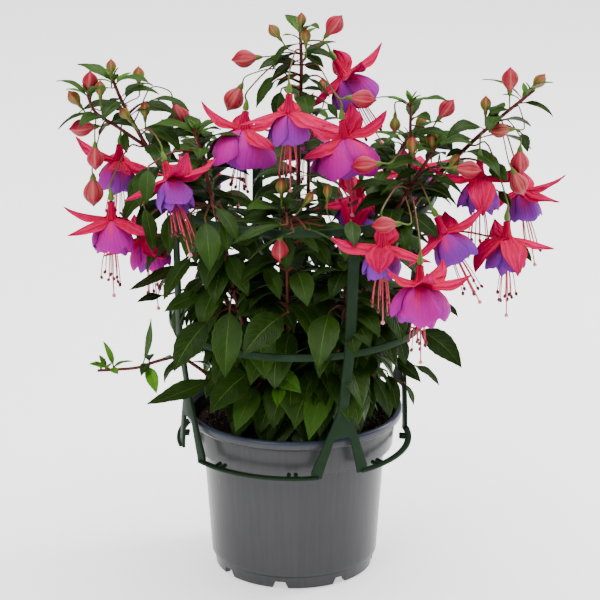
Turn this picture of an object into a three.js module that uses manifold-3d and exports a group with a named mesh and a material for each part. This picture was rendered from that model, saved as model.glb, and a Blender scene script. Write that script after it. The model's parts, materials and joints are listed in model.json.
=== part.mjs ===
// A double fuchsia in flower, standing in a round nursery pot with a moulded support rack clipped round it.
// Millimetres, +Z up. The pot's axis is the Z axis and its feet stand on Z = 0. Front is -Y, right is +X.
import * as THREE from 'three';
import { mergeVertices } from 'three/addons/utils/BufferGeometryUtils.js';
import Module from 'manifold-3d';

const wasm = await Module();
wasm.setup();

// ---- driving dimensions -------------------------------------------------------------------------
const TAU = Math.PI * 2;
const DEG = Math.PI / 180;
const CLEAR = 0.35; // gap kept between touching pieces

const POT_FACETS = 28;
const POT_OUTER = [
  [51, 2.5], [51, 0], [55, 0], [56.4, 9], [57.8, 9.8], [62.9, 87],
  [68.6, 89], [70.4, 108.5], [74.6, 110.5], [75, 114], [73, 116],
];
const POT_INNER = [[69, 109.5], [67, 90.4], [61.2, 87], [55.5, 6.5]];
const NOTCH = { count: 8, wide: 11, top: 7, tall: 5, turn: -10 };

const SOIL_TOP = 104;
const HOLE_FLOOR = 73;
const STEM_FOOT = 75;

const RACK = {
  legs: [23.3, 113, 199, 295], // degrees round from the front
  thick: 2, legWide: 6.4, footSpread: 12.7, lean: 4,
  hoopZ: 92, webZ: 124, apexZ: 140, midZ: 181, topZ: 268,
  hoopR: 77, midR: 86, topR: 90,
  hoopTall: 1.8, hoopDeep: 4.5, ringTall: 5, knobs: [-20, 20], knobReach: 5,
};

const PEDICEL = 0.8;
const OVARY = { long: 7, radius: 1.9 };
const TUBE = { long: 11.5, top: 2.2, neck: 4.2 };
const SEPAL = { long: 33, half: 6.4, thick: 1.3 };
const SEPAL_BENDS = { // pitch above the level at the root and at the tip
  up: [40, 62], rise: [14, 30], flat: [2, 12], dip: [-4, -34], hang: [-6, -84],
};
const COROLLA = { radius: 14.5, tall: 24, petals: 5, facets: 10 };
const STAMENS = { count: 3, spread: 5.5, reach: 45, style: 54, thick: 0.55, anther: 1 };
const LEAF_THICK = 1.4;
const LEAF_ROOT_VOLUME = 7; // what a leaf's own root takes up inside its stem
const STEM_SIDES = 4;

// ways a bud or a bloom can point
const UP = [0, 0, 1];
const DOWN = [0, 0, -1];
const LEFT = [-1, 0, -0.1];
const RIGHT = [1, 0, -0.1];
const UP_LEFT = [-0.6, 0, 0.8];
const UP_RIGHT = [0.6, 0, 0.8];
const DOWN_LEFT = [-0.5, 0, -0.9];
const DOWN_RIGHT = [0.4, 0, -0.9];

// ---- the stems: each one's route, its side shoots, its leaves and its buds ------------------------
const STEMS = [
  { name: 'centre', root: 2.6,
    routes: [[[5, 9, 112], [4, 16, 190], [3, 10, 290], [5, 0, 350], [4, -6, 386]]],
    leaves: { from: 0.12, to: 0.95, pairs: 8, long: 48, wide: 21, turn: 20 },
    buds: [[5, -12, 391, 9, UP], [-13, -10, 383, 10, UP_LEFT], [8, -16, 381, 9, UP],
      [27, -9, 387, 15, UP_RIGHT],
      [-33, -9, 364, 16, LEFT], [-40, -12, 337, 17, DOWN_LEFT], [46, -34, 343, 16, RIGHT]] },
  { name: 'left', root: 2.4,
    routes: [[[-11, 1, 112], [-40, -6, 180], [-72, -12, 258], [-98, -16, 305],
      [-114, -13, 335], [-121, -10, 352]],
    [[-98, -16, 305], [-118, -18, 320], [-132, -18, 330], [-137, -18, 342]]],
    leaves: { from: 0.1, to: 0.94, pairs: 8, long: 50, wide: 21, turn: 60 },
    buds: [[-121, -14, 360, 9, UP], [-103, -12, 354, 10, UP], [-128, -22, 347, 10, UP],
      [-99, -16, 331, 10, UP],
      [-112, -26, 331, 9, UP_LEFT], [-141, -22, 320, 16, LEFT], [-131, -40, 304, 15, DOWN],
      [-133, -38, 280, 18, DOWN], [-76, -10, 326, 16, DOWN_RIGHT], [-88, -28, 306, 9, UP],
      [-146, -16, 339, 11, UP_LEFT], [-135, -16, 350, 14, UP]] },
  { name: 'left_front', root: 2.2,
    routes: [[[-13, -13, 112], [-32, -28, 175], [-48, -34, 245], [-60, -32, 300],
      [-66, -28, 322]]],
    leaves: { from: 0.04, to: 0.94, pairs: 9, long: 54, wide: 24, turn: 10 }, buds: [] },
  { name: 'low_left', root: 1.6,
    routes: [[[-25, -7, 112], [-52, -14, 136], [-78, -20, 157], [-106, -26, 152],
      [-134, -27, 150]]],
    leaves: { from: 0.3, to: 0.94, pairs: 4, long: 24, wide: 11, turn: 80 }, buds: [] },
  { name: 'front_centre', root: 2,
    routes: [[[0, -17, 112], [-3, -40, 175], [-5, -52, 240], [-5, -58, 280]]],
    leaves: { from: 0.03, to: 0.93, pairs: 9, long: 54, wide: 25, turn: 35 },
    buds: [[-8, -62, 291, 10, UP], [10, -64, 284, 8, UP_RIGHT], [-9, -74, 251, 15, DOWN]] },
  { name: 'front_right', root: 2,
    routes: [[[18, -16, 112], [28, -44, 160], [34, -54, 205], [38, -52, 250]]],
    leaves: { from: 0.03, to: 0.93, pairs: 8, long: 52, wide: 24, turn: 0 },
    buds: [[22, -62, 288, 8, UP]] },
  { name: 'right_front', root: 2.4,
    routes: [[[13, -1, 112], [40, -24, 180], [60, -36, 250], [84, -38, 295], [96, -36, 314]],
      [[76, -37, 280], [77, -32, 315], [77, -30, 340]]],
    leaves: { from: 0.08, to: 0.94, pairs: 8, long: 50, wide: 21, turn: 45 },
    buds: [[67, -28, 324, 10, DOWN], [78, -46, 315, 11, UP], [101, -28, 335, 14, UP_RIGHT],
      [91, -36, 316, 11, UP],
      [106, -44, 304, 9, UP_RIGHT], [58, -110, 280, 15, LEFT], [46, -62, 306, 16, LEFT]] },
  { name: 'right', root: 2.4,
    routes: [[[27, 3, 112], [50, -6, 180], [78, -12, 258], [110, -18, 300], [136, -18, 325],
      [160, -14, 344]]],
    leaves: { from: 0.1, to: 0.94, pairs: 8, long: 50, wide: 21, turn: 75 },
    buds: [[127, -24, 337, 10, UP], [143, -20, 353, 15, UP], [163, -14, 350, 11, UP_RIGHT],
      [136, -32, 321, 13, LEFT], [150, -30, 298, 16, DOWN], [115, -52, 300, 16, RIGHT],
      [149, -38, 286, 16, DOWN_RIGHT]] },
  { name: 'back', root: 2.4,
    routes: [[[4, 27, 112], [8, 50, 180], [10, 60, 262], [10, 62, 318]]],
    leaves: { from: 0.1, to: 0.94, pairs: 6, long: 50, wide: 22, turn: 15 },
    buds: [[20, 66, 326, 10, UP], [0, 70, 322, 9, UP_LEFT]] },
  { name: 'back_left', root: 2.2,
    routes: [[[-15, 17, 112], [-40, 38, 180], [-56, 50, 258], [-70, 58, 296]]],
    leaves: { from: 0.05, to: 0.94, pairs: 6, long: 50, wide: 22, turn: 50 },
    buds: [[-76, 64, 304, 10, UP]] },
  { name: 'back_right', root: 2.2,
    routes: [[[21, 19, 112], [46, 36, 180], [60, 46, 258], [82, 56, 294]]],
    leaves: { from: 0.05, to: 0.94, pairs: 6, long: 50, wide: 22, turn: 70 },
    buds: [[88, 60, 302, 10, UP_RIGHT]] },
];

// ---- the blooms: neck position, the way they hang, their fullness and how each sepal bends ---------
const BLOOMS = [
  { name: 'left_low', stem: 'left', neck: [-121, -44, 264], hang: [0, -0.1], full: 1,
    sepals: [[168, 'flat'], [212, 'dip'], [335, 'dip'], [80, 'hang']] },
  { name: 'left_inner', stem: 'left', neck: [-99, -6, 240], hang: [0.1, 0], full: 1,
    sepals: [[200, 'dip'], [290, 'dip'], [20, 'dip'], [110, 'flat']] },
  { name: 'left_front', stem: 'left', neck: [-81, -70, 299], hang: [0.3, -0.6], full: 0.88,
    sepals: [[8, 'flat'], [192, 'dip'], [300, 'flat'], [100, 'dip']] },
  { name: 'left_outer', stem: 'left', neck: [-119, 12, 288], hang: [-0.1, 0.1], full: 0.9,
    sepals: [[180, 'rise'], [275, 'flat'], [0, 'dip'], [90, 'dip']] },
  { name: 'centre_left', stem: 'centre', neck: [-33, -30, 322], hang: [-0.1, -0.1], full: 1.25,
    sepals: [[170, 'rise'], [22, 'rise'], [312, 'dip'], [90, 'rise']] },
  { name: 'centre_front', stem: 'centre', neck: [-3, -58, 341], hang: [0, -0.1], full: 0.85,
    sepals: [[188, 'dip'], [322, 'dip'], [356, 'dip'], [90, 'rise']] },
  { name: 'centre_top', stem: 'centre', neck: [33, 2, 350], hang: [0.55, -0.1], full: 1.05,
    sepals: [[8, 'flat'], [192, 'dip'], [80, 'up'], [300, 'flat']] },
  { name: 'centre_right', stem: 'centre', neck: [33, -38, 318], hang: [0.1, -0.1], full: 1.3,
    sepals: [[12, 'rise'], [175, 'rise'], [62, 'up'], [212, 'dip']] },
  { name: 'centre_low', stem: 'centre', neck: [44, -6, 268], hang: [-0.1, 0], full: 0.95,
    sepals: [[205, 'dip'], [262, 'hang'], [325, 'dip'], [110, 'rise']] },
  { name: 'front_left', stem: 'right_front', neck: [57, -100, 263], hang: [0, 0], full: 0.82,
    sepals: [[184, 'flat'], [262, 'hang'], [343, 'dip'], [70, 'up']] },
  { name: 'front_right', stem: 'right_front', neck: [99, -62, 260], hang: [0.5, -0.15], full: 0.92,
    sepals: [[198, 'dip'], [352, 'flat'], [75, 'rise'], [120, 'flat']] },
  { name: 'front_low', stem: 'right_front', neck: [81, -119, 244], hang: [0, -0.1], full: 1.2,
    sepals: [[196, 'rise'], [352, 'flat'], [48, 'rise'], [280, 'rise']] },
  { name: 'right_front', stem: 'right', neck: [123, -38, 290], hang: [0, -0.1], full: 0.9,
    sepals: [[178, 'flat'], [272, 'hang'], [28, 'flat'], [90, 'dip']] },
  { name: 'right_outer', stem: 'right', neck: [153, 0, 270], hang: [0.2, -0.1], full: 0.8,
    sepals: [[345, 'flat'], [316, 'dip'], [190, 'dip'], [80, 'flat']] },
  { name: 'right_low', stem: 'right', neck: [141, -50, 252], hang: [0, -0.1], full: 0.88,
    sepals: [[285, 'hang'], [205, 'hang'], [10, 'dip'], [100, 'flat']] },
  { name: 'back_left', stem: 'back_left', neck: [-66, 92, 262], hang: [-0.1, 0.2], full: 1,
    sepals: [[30, 'flat'], [120, 'dip'], [210, 'flat'], [300, 'flat']] },
  { name: 'back_centre', stem: 'back', neck: [10, 114, 284], hang: [0, 0.2], full: 1.1,
    sepals: [[20, 'dip'], [90, 'hang'], [165, 'dip'], [270, 'rise']] },
  { name: 'back_right', stem: 'back_right', neck: [84, 84, 262], hang: [0.1, 0.2], full: 1,
    sepals: [[0, 'flat'], [80, 'dip'], [160, 'dip'], [250, 'up']] },
];

// ---- materials ----------------------------------------------------------------------------------
const paint = (color, roughness) => new THREE.MeshStandardMaterial({ color, roughness, metalness: 0 });
const GREY_PLASTIC = paint('#6b6c70', 0.42);
const DARK_GREEN_PLASTIC = paint('#2b4233', 0.4);
const PEAT = paint('#2a201a', 0.97);
const FOLIAGE = paint('#2f5a22', 0.45);
const CRIMSON = paint('#dc1f3f', 0.5);
const PURPLE = paint('#8a3fae', 0.55);

// ---- solids -------------------------------------------------------------------------------------
function signedVolume(vertices, triangles) {
  const at = (i) => new THREE.Vector3().fromArray(vertices, triangles[i] * 3);
  let volume = 0;
  for (let i = 0; i < triangles.length; i += 3) volume += at(i).dot(at(i + 1).cross(at(i + 2)));
  return volume;
}

/** A manifold solid from a closed three.js geometry, with its faces turned outward. */
function solidFrom(geometry) {
  geometry.deleteAttribute('normal');
  geometry.deleteAttribute('uv');
  const merged = mergeVertices(geometry, 1e-4);
  const vertProperties = new Float32Array(merged.getAttribute('position').array);
  let triangles = [];
  const index = merged.index.array;
  for (let i = 0; i < index.length; i += 3) {
    const [a, b, c] = index.slice(i, i + 3);
    if (a !== b && b !== c && a !== c) triangles.push(a, b, c);
  }
  if (signedVolume(vertProperties, triangles) < 0) triangles = triangles.reverse();
  const triVerts = new Uint32Array(triangles);
  return new wasm.Manifold(new wasm.Mesh({ numProp: 3, vertProperties, triVerts }));
}

function geometryFrom(solid) {
  const { vertProperties, triVerts } = solid.getMesh();
  const geometry = new THREE.BufferGeometry();
  geometry.setAttribute('position', new THREE.BufferAttribute(vertProperties, 3));
  geometry.setIndex(new THREE.BufferAttribute(triVerts, 1));
  const flat = geometry.toNonIndexed();
  flat.computeVertexNormals();
  return flat;
}

const join = (solids) => solids.reduce((whole, solid) => whole.add(solid));
const vec = (list) => new THREE.Vector3().fromArray(list);
const unit = (list) => vec(list).normalize();

/** A closed solid made by moving a sphere's points: place(row, angle) is each one's new position. */
function loft(sides, rows, place) {
  const sphere = new THREE.SphereGeometry(1, sides, rows);
  const position = sphere.getAttribute('position');
  for (let i = 0; i < position.count; i += 1) {
    const row = Math.floor(i / (sides + 1));
    const side = (i % (sides + 1)) % sides;
    position.setXYZ(i, ...place(row, (side * TAU) / sides).toArray());
  }
  return solidFrom(sphere);
}

/** A round stalk through the given points, with its radius at each; its two ends close to a point. */
function stalk(points, radii, sides) {
  const last = points.length - 1;
  const across = new THREE.Vector3(0.3, 1, 0.2);
  const rings = points.map((point, i) => {
    const along = points[Math.min(i + 1, last)].clone().sub(points[Math.max(i - 1, 0)]).normalize();
    across.addScaledVector(along, -across.dot(along)).normalize();
    return { point, side: across.clone(), up: along.clone().cross(across) };
  });
  return loft(sides, last, (row, angle) => {
    const { point, side, up } = rings[row];
    const radius = row === 0 || row === last ? 0 : radii[row];
    return point.clone()
      .addScaledVector(side, radius * Math.cos(angle))
      .addScaledVector(up, radius * Math.sin(angle));
  });
}

/** Points along a blade's middle, for pitches that change evenly from its root to its tip. */
function spine(root, azimuth, pitches, length, steps) {
  const heading = new THREE.Vector3(Math.cos(azimuth * DEG), Math.sin(azimuth * DEG), 0);
  const side = new THREE.Vector3(-heading.y, heading.x, 0);
  const points = [root.clone()];
  const normals = [];
  for (let i = 0; i < steps; i += 1) {
    const pitch = (pitches[0] + ((pitches[1] - pitches[0]) * (i + 0.5)) / steps) * DEG;
    const along = heading.clone().multiplyScalar(Math.cos(pitch)).setZ(Math.sin(pitch));
    normals.push(along.clone().cross(side));
    points.push(points[i].clone().addScaledVector(along, length / steps));
  }
  normals.push(normals[steps - 1]);
  return { points, normals, side };
}

/** A blade with a keel below: stations are [place along 0..1, half width, cup of the edges]. */
function blade({ root, azimuth, pitches, length, thick, stations, roll = 0 }) {
  const steps = 20;
  const { points, normals, side } = spine(root, azimuth, pitches, length, steps);
  const last = stations.length + 1;
  return loft(3, last, (row, angle) => {
    if (row === 0) return points[0];
    if (row === last) return points[steps];
    const [place, half, cup] = stations[row - 1];
    const k = Math.round(place * steps);
    const [cos, sin] = [Math.cos(roll * DEG), Math.sin(roll * DEG)];
    const up = normals[k].clone().multiplyScalar(cos).addScaledVector(side, sin);
    const out = side.clone().multiplyScalar(cos).addScaledVector(normals[k], -sin);
    const across = Math.sin(angle) / Math.sin(TAU / 3);
    const lift = across === 0 ? -thick : cup;
    return points[k].clone().addScaledVector(out, half * across).addScaledVector(up, lift);
  });
}

// ---- pot, soil and rack -------------------------------------------------------------------------
function lathe(profile, facets) {
  return new THREE.LatheGeometry(profile.map(([r, z]) => new THREE.Vector2(r, z)), facets);
}

function standUp(geometry) {
  return geometry.rotateX(Math.PI / 2);
}

function makePot() {
  const profile = [[0, 2.5], ...POT_OUTER, ...POT_INNER, [0, 6.5]];
  let pot = solidFrom(standUp(lathe(profile, POT_FACETS)));
  const outline = new THREE.Shape();
  outline.moveTo(-NOTCH.wide / 2, -2);
  outline.lineTo(NOTCH.wide / 2, -2);
  outline.lineTo(NOTCH.top / 2, NOTCH.tall);
  outline.lineTo(-NOTCH.top / 2, NOTCH.tall);
  for (let i = 0; i < NOTCH.count; i += 1) {
    const cut = standUp(new THREE.ExtrudeGeometry(outline, { depth: 12, bevelEnabled: false }));
    cut.translate(0, -47, 0).rotateZ(NOTCH.turn * DEG + (i * TAU) / NOTCH.count);
    pot = pot.subtract(solidFrom(cut));
  }
  return pot;
}

function makeSoil() {
  const side = [[54.8, 6.9], [60.7, 87.2], [66.4, 90.9], [68, SOIL_TOP - 1]];
  const profile = [[0, 6.9], ...side, [0, SOIL_TOP + 1]];
  let soil = solidFrom(standUp(lathe(profile, POT_FACETS)));
  for (const { routes, root } of STEMS) {
    const [x, y] = routes[0][0];
    const hole = standUp(new THREE.CylinderGeometry(root + 1, root + 1, 40, 6));
    soil = soil.subtract(solidFrom(hole.translate(x, y, HOLE_FLOOR + 20)));
  }
  return soil;
}

/** A point of the rack's shell: degrees round from the front, the height, and the depth out of the shell. */
function onRack(degrees, z, out) {
  const { hoopZ, apexZ, midZ, topZ, hoopR, midR, topR, lean } = RACK;
  const heights = [hoopZ - 5, apexZ, midZ, topZ + 5];
  const radii = [hoopR, hoopR + 2.5, midR, topR];
  let k = 0;
  while (k < 2 && z > heights[k + 1]) k += 1;
  const share = (z - heights[k]) / (heights[k + 1] - heights[k]);
  const radius = radii[k] + (radii[k + 1] - radii[k]) * share + out;
  const shift = (lean * (z - hoopZ)) / (topZ - hoopZ);
  return new THREE.Vector3(radius * Math.sin(degrees * DEG) + shift, -radius * Math.cos(degrees * DEG), z);
}

/** Bends a flat piece onto the rack: its X runs round, Y is height and Z is depth. */
function bendOnRack(geometry, degrees) {
  const position = geometry.getAttribute('position');
  for (let i = 0; i < position.count; i += 1) {
    const round = degrees + position.getX(i) / RACK.hoopR / DEG;
    position.setXYZ(i, ...onRack(round, position.getY(i), position.getZ(i)).toArray());
  }
  return solidFrom(geometry);
}

function rackLeg(degrees) {
  const { legWide, footSpread, thick, hoopZ, hoopTall, webZ, apexZ, midZ, topZ, hoopR } = RACK;
  const foot = footSpread * DEG * hoopR;
  const half = legWide / 2;
  const base = hoopZ - hoopTall / 2;
  const right = [[half, topZ + 1], [half, midZ], [half, apexZ], [foot + half, base + 3],
    [foot + half - 2, base], [foot - half - 2, base], [foot - half - 2.5, base + 3], [0, webZ]];
  const left = right.slice(0, -1).reverse().map(([x, y]) => [-x, y]);
  const outline = new THREE.Shape([...right, ...left].map(([x, y]) => new THREE.Vector2(x, y)));
  const leg = new THREE.ExtrudeGeometry(outline, { depth: thick + 0.2, bevelEnabled: false });
  return bendOnRack(leg.translate(0, 0, 0.5), degrees);
}

function rackHoop(from, to) {
  const { hoopZ, hoopTall, hoopDeep, hoopR } = RACK;
  const span = (to - from) * DEG * hoopR;
  const bar = new THREE.BoxGeometry(span, hoopTall, hoopDeep, 6, 1, 1).translate(0, hoopZ, hoopDeep / 2);
  return bendOnRack(bar, (from + to) / 2);
}

function rackKnob(degrees) {
  const { knobReach, hoopZ } = RACK;
  const knob = new THREE.BoxGeometry(3.4, 3.4, knobReach).translate(0, hoopZ, 0.6 - knobReach / 2);
  return bendOnRack(knob, degrees);
}

function rackRing(z) {
  const { ringTall, thick } = RACK;
  const low = onRack(0, z, 0);
  const radius = -low.y;
  const [bottom, top] = [z - ringTall / 2, z + ringTall / 2];
  const outer = radius + thick;
  const profile = [[radius, bottom], [outer, bottom], [outer, top], [radius, top], [radius, bottom]];
  return solidFrom(standUp(lathe(profile, 24)).translate(low.x, 0, 0));
}

function makeRack() {
  const { legs, footSpread, knobs, midZ, topZ } = RACK;
  const pieces = [rackRing(midZ), rackRing(topZ)];
  legs.forEach((leg, i) => {
    const next = i < 3 ? legs[i + 1] : legs[0] + 360;
    pieces.push(rackLeg(leg), rackHoop(leg + footSpread - 2, next - footSpread + 2));
    for (const offset of knobs) pieces.push(rackKnob((leg + next) / 2 + offset));
  });
  return join(pieces);
}

// ---- the plant ----------------------------------------------------------------------------------
/** A repeatable draw from 0 to 1 for a numbered thing. */
function draw(a, b) {
  const s = Math.sin(a * 12.9898 + b * 78.233) * 43758.5453;
  return s - Math.floor(s);
}

/** The points down the middle of a stem: a main route goes straight down from the crown into the soil. */
function rail(route, isMain) {
  const points = route.map(vec);
  if (isMain) {
    const [crown, next] = points;
    const bend = crown.clone().lerp(next, 0.06).setZ(crown.z + 0.25 * (next.z - crown.z));
    points.splice(0, 1, crown.clone().setZ(STEM_FOOT), crown, bend);
  }
  return new THREE.CatmullRomCurve3(points, false, 'catmullrom', 0.5).getPoints((points.length - 1) * 2);
}

/** The point at a share of the way along a rail. */
function alongRail(points, share) {
  const at = share * (points.length - 1);
  const k = Math.min(Math.floor(at), points.length - 2);
  return points[k].clone().lerp(points[k + 1], at - k);
}

function stemTube(points, root, tip) {
  const radii = points.map((point, i) => root + ((tip - root) * i) / (points.length - 1));
  return stalk([points[0], ...points], [root, ...radii], STEM_SIDES);
}

/** Where a stalk leaves its stem: a little below the point of the stem that is nearest to the place given. */
function axil(stem, place, below) {
  let best = Infinity;
  let start = null;
  for (const points of stem.rails) {
    for (let i = 24; i <= 56; i += 1) {
      const distance = alongRail(points, i / 60).distanceTo(place);
      if (distance < best) {
        best = distance;
        start = alongRail(points, (i - below) / 60);
      }
    }
  }
  return start;
}

/** One piece for a bud or an ovary and the thin stalk that carries it, arching over from the stem. */
function carried(stem, head, aim, swells, below) {
  const lead = head.clone().addScaledVector(aim, -6);
  const start = axil(stem, lead.clone().add(new THREE.Vector3(0, 0, 6)), below);
  const middle = start.clone().lerp(lead, 0.5);
  if (aim.z < 0.3) middle.z = Math.max(start.z, lead.z) + 0.08 * start.distanceTo(lead);
  const near = start.clone().lerp(middle, 0.08);
  const points = [start, near, middle, lead];
  const radii = [0, PEDICEL, PEDICEL, PEDICEL];
  for (const [down, radius] of swells) {
    points.push(head.clone().addScaledVector(aim, down));
    radii.push(radius);
  }
  return stalk(points, radii, 4);
}

function budOn(stem, [x, y, z, length, direction], number) {
  const aim = unit(direction);
  const head = new THREE.Vector3(x, y, z).addScaledVector(aim, -length / 2 - 4);
  const swells = [[2.4, length * 0.12 + 0.3], [4 + 0.38 * length, length * 0.34], [4 + length, 0]];
  if (length > 12) swells.splice(2, 0, [4 + 0.74 * length, length * 0.22]);
  return carried(stem, head, aim, swells, 2 * (number % 3));
}

const bloomAim = ({ hang }) => unit([hang[0], hang[1], -1]);

/** The green ovary over a bloom, on its stalk: it belongs to the stem. */
function ovaryOn(stem, bloom, number) {
  const aim = bloomAim(bloom);
  const head = vec(bloom.neck).addScaledVector(aim, -TUBE.long - CLEAR - OVARY.long);
  return carried(stem, head, aim, [[0.6 * OVARY.long, OVARY.radius], [OVARY.long, 0]], number % 2);
}

function turned(solid, aim, place) {
  const turn = new THREE.Quaternion().setFromUnitVectors(new THREE.Vector3(0, 0, -1), aim);
  const matrix = new THREE.Matrix4().compose(place, turn, new THREE.Vector3(1, 1, 1));
  return solid.transform(matrix.toArray());
}

/** The crimson part of a bloom, hanging along -Z with its neck at the origin: tube and four sepals. */
function calyx({ sepals }) {
  const rings = [[TUBE.long, TUBE.top], [-0.6, TUBE.neck]];
  const tube = loft(4, 3, (row, angle) => {
    if (row === 0) return new THREE.Vector3(0, 0, TUBE.long);
    if (row === 3) return new THREE.Vector3(0, 0, -0.6);
    const [z, radius] = rings[row - 1];
    return new THREE.Vector3(radius * Math.cos(angle), radius * Math.sin(angle), z);
  });
  const { long, half, thick } = SEPAL;
  const stations = [[0.15, 0.5 * half, 0], [0.45, half, 0.6], [0.75, 0.66 * half, 0.5]];
  const blades = sepals.map(([azimuth, bend]) => blade({
    root: new THREE.Vector3(Math.cos(azimuth * DEG), Math.sin(azimuth * DEG), 0.4),
    azimuth, pitches: SEPAL_BENDS[bend], length: long, thick, stations,
  }));
  return join([tube, ...blades]);
}

/** The purple part of a bloom: overlapping petals in two layers, with the stamens and the style. */
function corolla({ full }) {
  const { radius, tall, petals, facets } = COROLLA;
  const [wide, high] = [radius * full, tall * (0.6 + 0.4 * full)];
  const rows = [[wide * 0.66, high * 0.2, 0.3], [wide, high * 0.62, 0.8], [wide * 0.94, high * 0.96, 1],
    [wide * 0.6, high * 0.72, 0.3]];
  const skirt = loft(facets, 5, (row, angle) => {
    if (row === 0) return new THREE.Vector3(0, 0, -1.1);
    if (row === 5) return new THREE.Vector3(0, 0, -high * 1.02);
    const [r, drop, wave] = rows[row - 1];
    const share = ((angle * petals) / TAU) % 1;
    const lap = r * (1 + 0.16 * wave * (share - 0.4));
    const hem = drop + 1.6 * wave * (share < 0.2 ? -1 : 1);
    return new THREE.Vector3(lap * Math.cos(angle), lap * Math.sin(angle), -hem);
  });
  const inside = -high * 0.75;
  const threads = [];
  for (let i = 0; i <= STAMENS.count; i += 1) {
    const isStyle = i === STAMENS.count;
    const angle = (i * TAU) / STAMENS.count + 0.4;
    const out = isStyle ? 0 : STAMENS.spread;
    const reach = isStyle ? STAMENS.style : STAMENS.reach - 2 * i;
    const side = new THREE.Vector3(Math.cos(angle), Math.sin(angle), 0);
    const at = (share, z) => side.clone().multiplyScalar(out * share).setZ(z);
    const points = [at(0.3, inside + 1), at(0.35, inside), at(1, 2 - reach), at(1.05, -reach)];
    threads.push(stalk(points, [0, STAMENS.thick, STAMENS.anther, 0], 3));
  }
  return join([skirt, ...threads]);
}

function bloomPart(part, bloom) {
  return turned(part(bloom), bloomAim(bloom), vec(bloom.neck));
}

function leaf(place, azimuth, pitches, long, wide, roll) {
  const half = wide / 2;
  const petiole = [0.15, 0.9, 0];
  const isBig = long > 32;
  const stations = isBig ? [petiole, [0.4, 0.96 * half, 0.16 * half], [0.7, 0.78 * half, 0.14 * half]]
    : [petiole, [0.5, half, 0.16 * half]];
  return blade({ root: place, azimuth, pitches, length: long, thick: LEAF_THICK, stations, roll });
}

// how a leaf is swung, tilted or shortened when its first place is taken
const LEAF_TRIES = [[0, 0, 1], [24, 10, 1], [-24, 10, 1], [0, 34, 0.9], [48, -12, 0.85], [-48, -12, 0.85],
  [70, 20, 0.7], [-70, 20, 0.7], [0, -20, 0.6]];

/** Every leaf's place on a stem, in opposite pairs, each a quarter turn from the last. */
function leafSlots(stem, number) {
  const { from, to, pairs, long, wide, turn } = stem.leaves;
  const slots = [];
  stem.rails.forEach((points, r) => {
    const isMain = r === 0;
    const count = isMain ? pairs : 2;
    const crown = isMain ? 2.8 / (points.length - 1) : 0;
    for (let j = 0; j < count; j += 1) {
      const u = isMain ? from + ((to - from) * j) / (count - 1) : 0.5 + 0.42 * j;
      const t = crown + (1 - crown) * u;
      const young = isMain ? Math.max(0, (u - 0.5) / 0.5) : 0.8;
      for (let side = 0; side < 2; side += 1) {
        const seed = number * 100 + r * 50 + j * 2 + side;
        const size = (1 - 0.45 * young) * (0.88 + 0.24 * draw(seed, 1));
        slots.push({
          place: alongRail(points, t), long: long * size, wide: wide * size * (1 - 0.15 * young),
          azimuth: turn + 90 * j + 180 * side + 30 * (draw(seed, 2) - 0.5),
          pitches: [28 + 30 * young - 24 * draw(seed, 3), -80 + 84 * young - 16 * draw(seed, 4)],
          roll: 36 * (draw(seed, 5) - 0.5),
        });
      }
    }
  });
  return slots;
}

function changedLeaf({ place, azimuth, pitches, long, wide, roll }, [swing, tilt, scale]) {
  const bent = pitches.map((pitch) => pitch + tilt);
  return leaf(place, azimuth + swing, bent, long * scale, wide * scale, roll);
}

function isFree(solid, others) {
  return others.every((other) => solid.minGap(other, 1) > CLEAR);
}

function makePlant(fixed) {
  const flowers = BLOOMS.flatMap((bloom) => [
    { name: `bloom_${bloom.name}_calyx`, solid: bloomPart(calyx, bloom), material: CRIMSON },
    { name: `bloom_${bloom.name}_corolla`, solid: bloomPart(corolla, bloom), material: PURPLE },
  ]);
  const stems = STEMS.map((stem) => {
    const tubes = stem.rails.map((points, r) => stemTube(points, r ? 1.4 : stem.root, r ? 1 : 1.2));
    const own = BLOOMS.filter((bloom) => bloom.stem === stem.name);
    const ovaries = own.map((bloom, i) => ovaryOn(stem, bloom, i));
    const buds = stem.buds.map((bud, i) => budOn(stem, bud, i));
    return { name: `stem_${stem.name}`, solid: join([...tubes, ...ovaries, ...buds]), material: FOLIAGE };
  });
  STEMS.forEach((stem, number) => {
    const own = stems[number];
    const rest = stems.filter((other) => other !== own);
    const others = [...fixed, ...flowers, ...rest].map(({ solid }) => solid);
    for (const slot of leafSlots(stem, number)) {
      const tries = LEAF_TRIES.map((change) => changedLeaf(slot, change));
      const free = tries.filter((solid) => isFree(solid, others));
      const clear = free.find((solid) => own.solid.intersect(solid).volume() < LEAF_ROOT_VOLUME);
      const chosen = clear ?? free[0];
      if (chosen) own.solid = own.solid.add(chosen);
    }
  });
  return [...stems, ...flowers];
}

// ---- the assembly -------------------------------------------------------------------------------
for (const stem of STEMS) stem.rails = stem.routes.map((route, r) => rail(route, r === 0));
const fixed = [
  { name: 'pot', solid: makePot(), material: GREY_PLASTIC },
  { name: 'potting_soil', solid: makeSoil(), material: PEAT },
  { name: 'support_rack', solid: makeRack(), material: DARK_GREEN_PLASTIC },
];
const fuchsia = new THREE.Group();
fuchsia.name = 'potted_fuchsia';
for (const { name, solid, material } of [...fixed, ...makePlant(fixed)]) {
  const mesh = new THREE.Mesh(geometryFrom(solid), material);
  mesh.name = name;
  fuchsia.add(mesh);
}
export default fuchsia;
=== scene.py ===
"""A double fuchsia in flower in a grey nursery pot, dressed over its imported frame. Sizes are in millimetres
until a piece is laid out; the pot's axis is Z, the front is -Y and the right is +X."""

import json
import math
from collections import namedtuple
from functools import partialmethod
from types import SimpleNamespace as Sizes

import bmesh
import bpy
import numpy as np
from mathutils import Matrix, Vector
from mathutils.kdtree import KDTree


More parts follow.
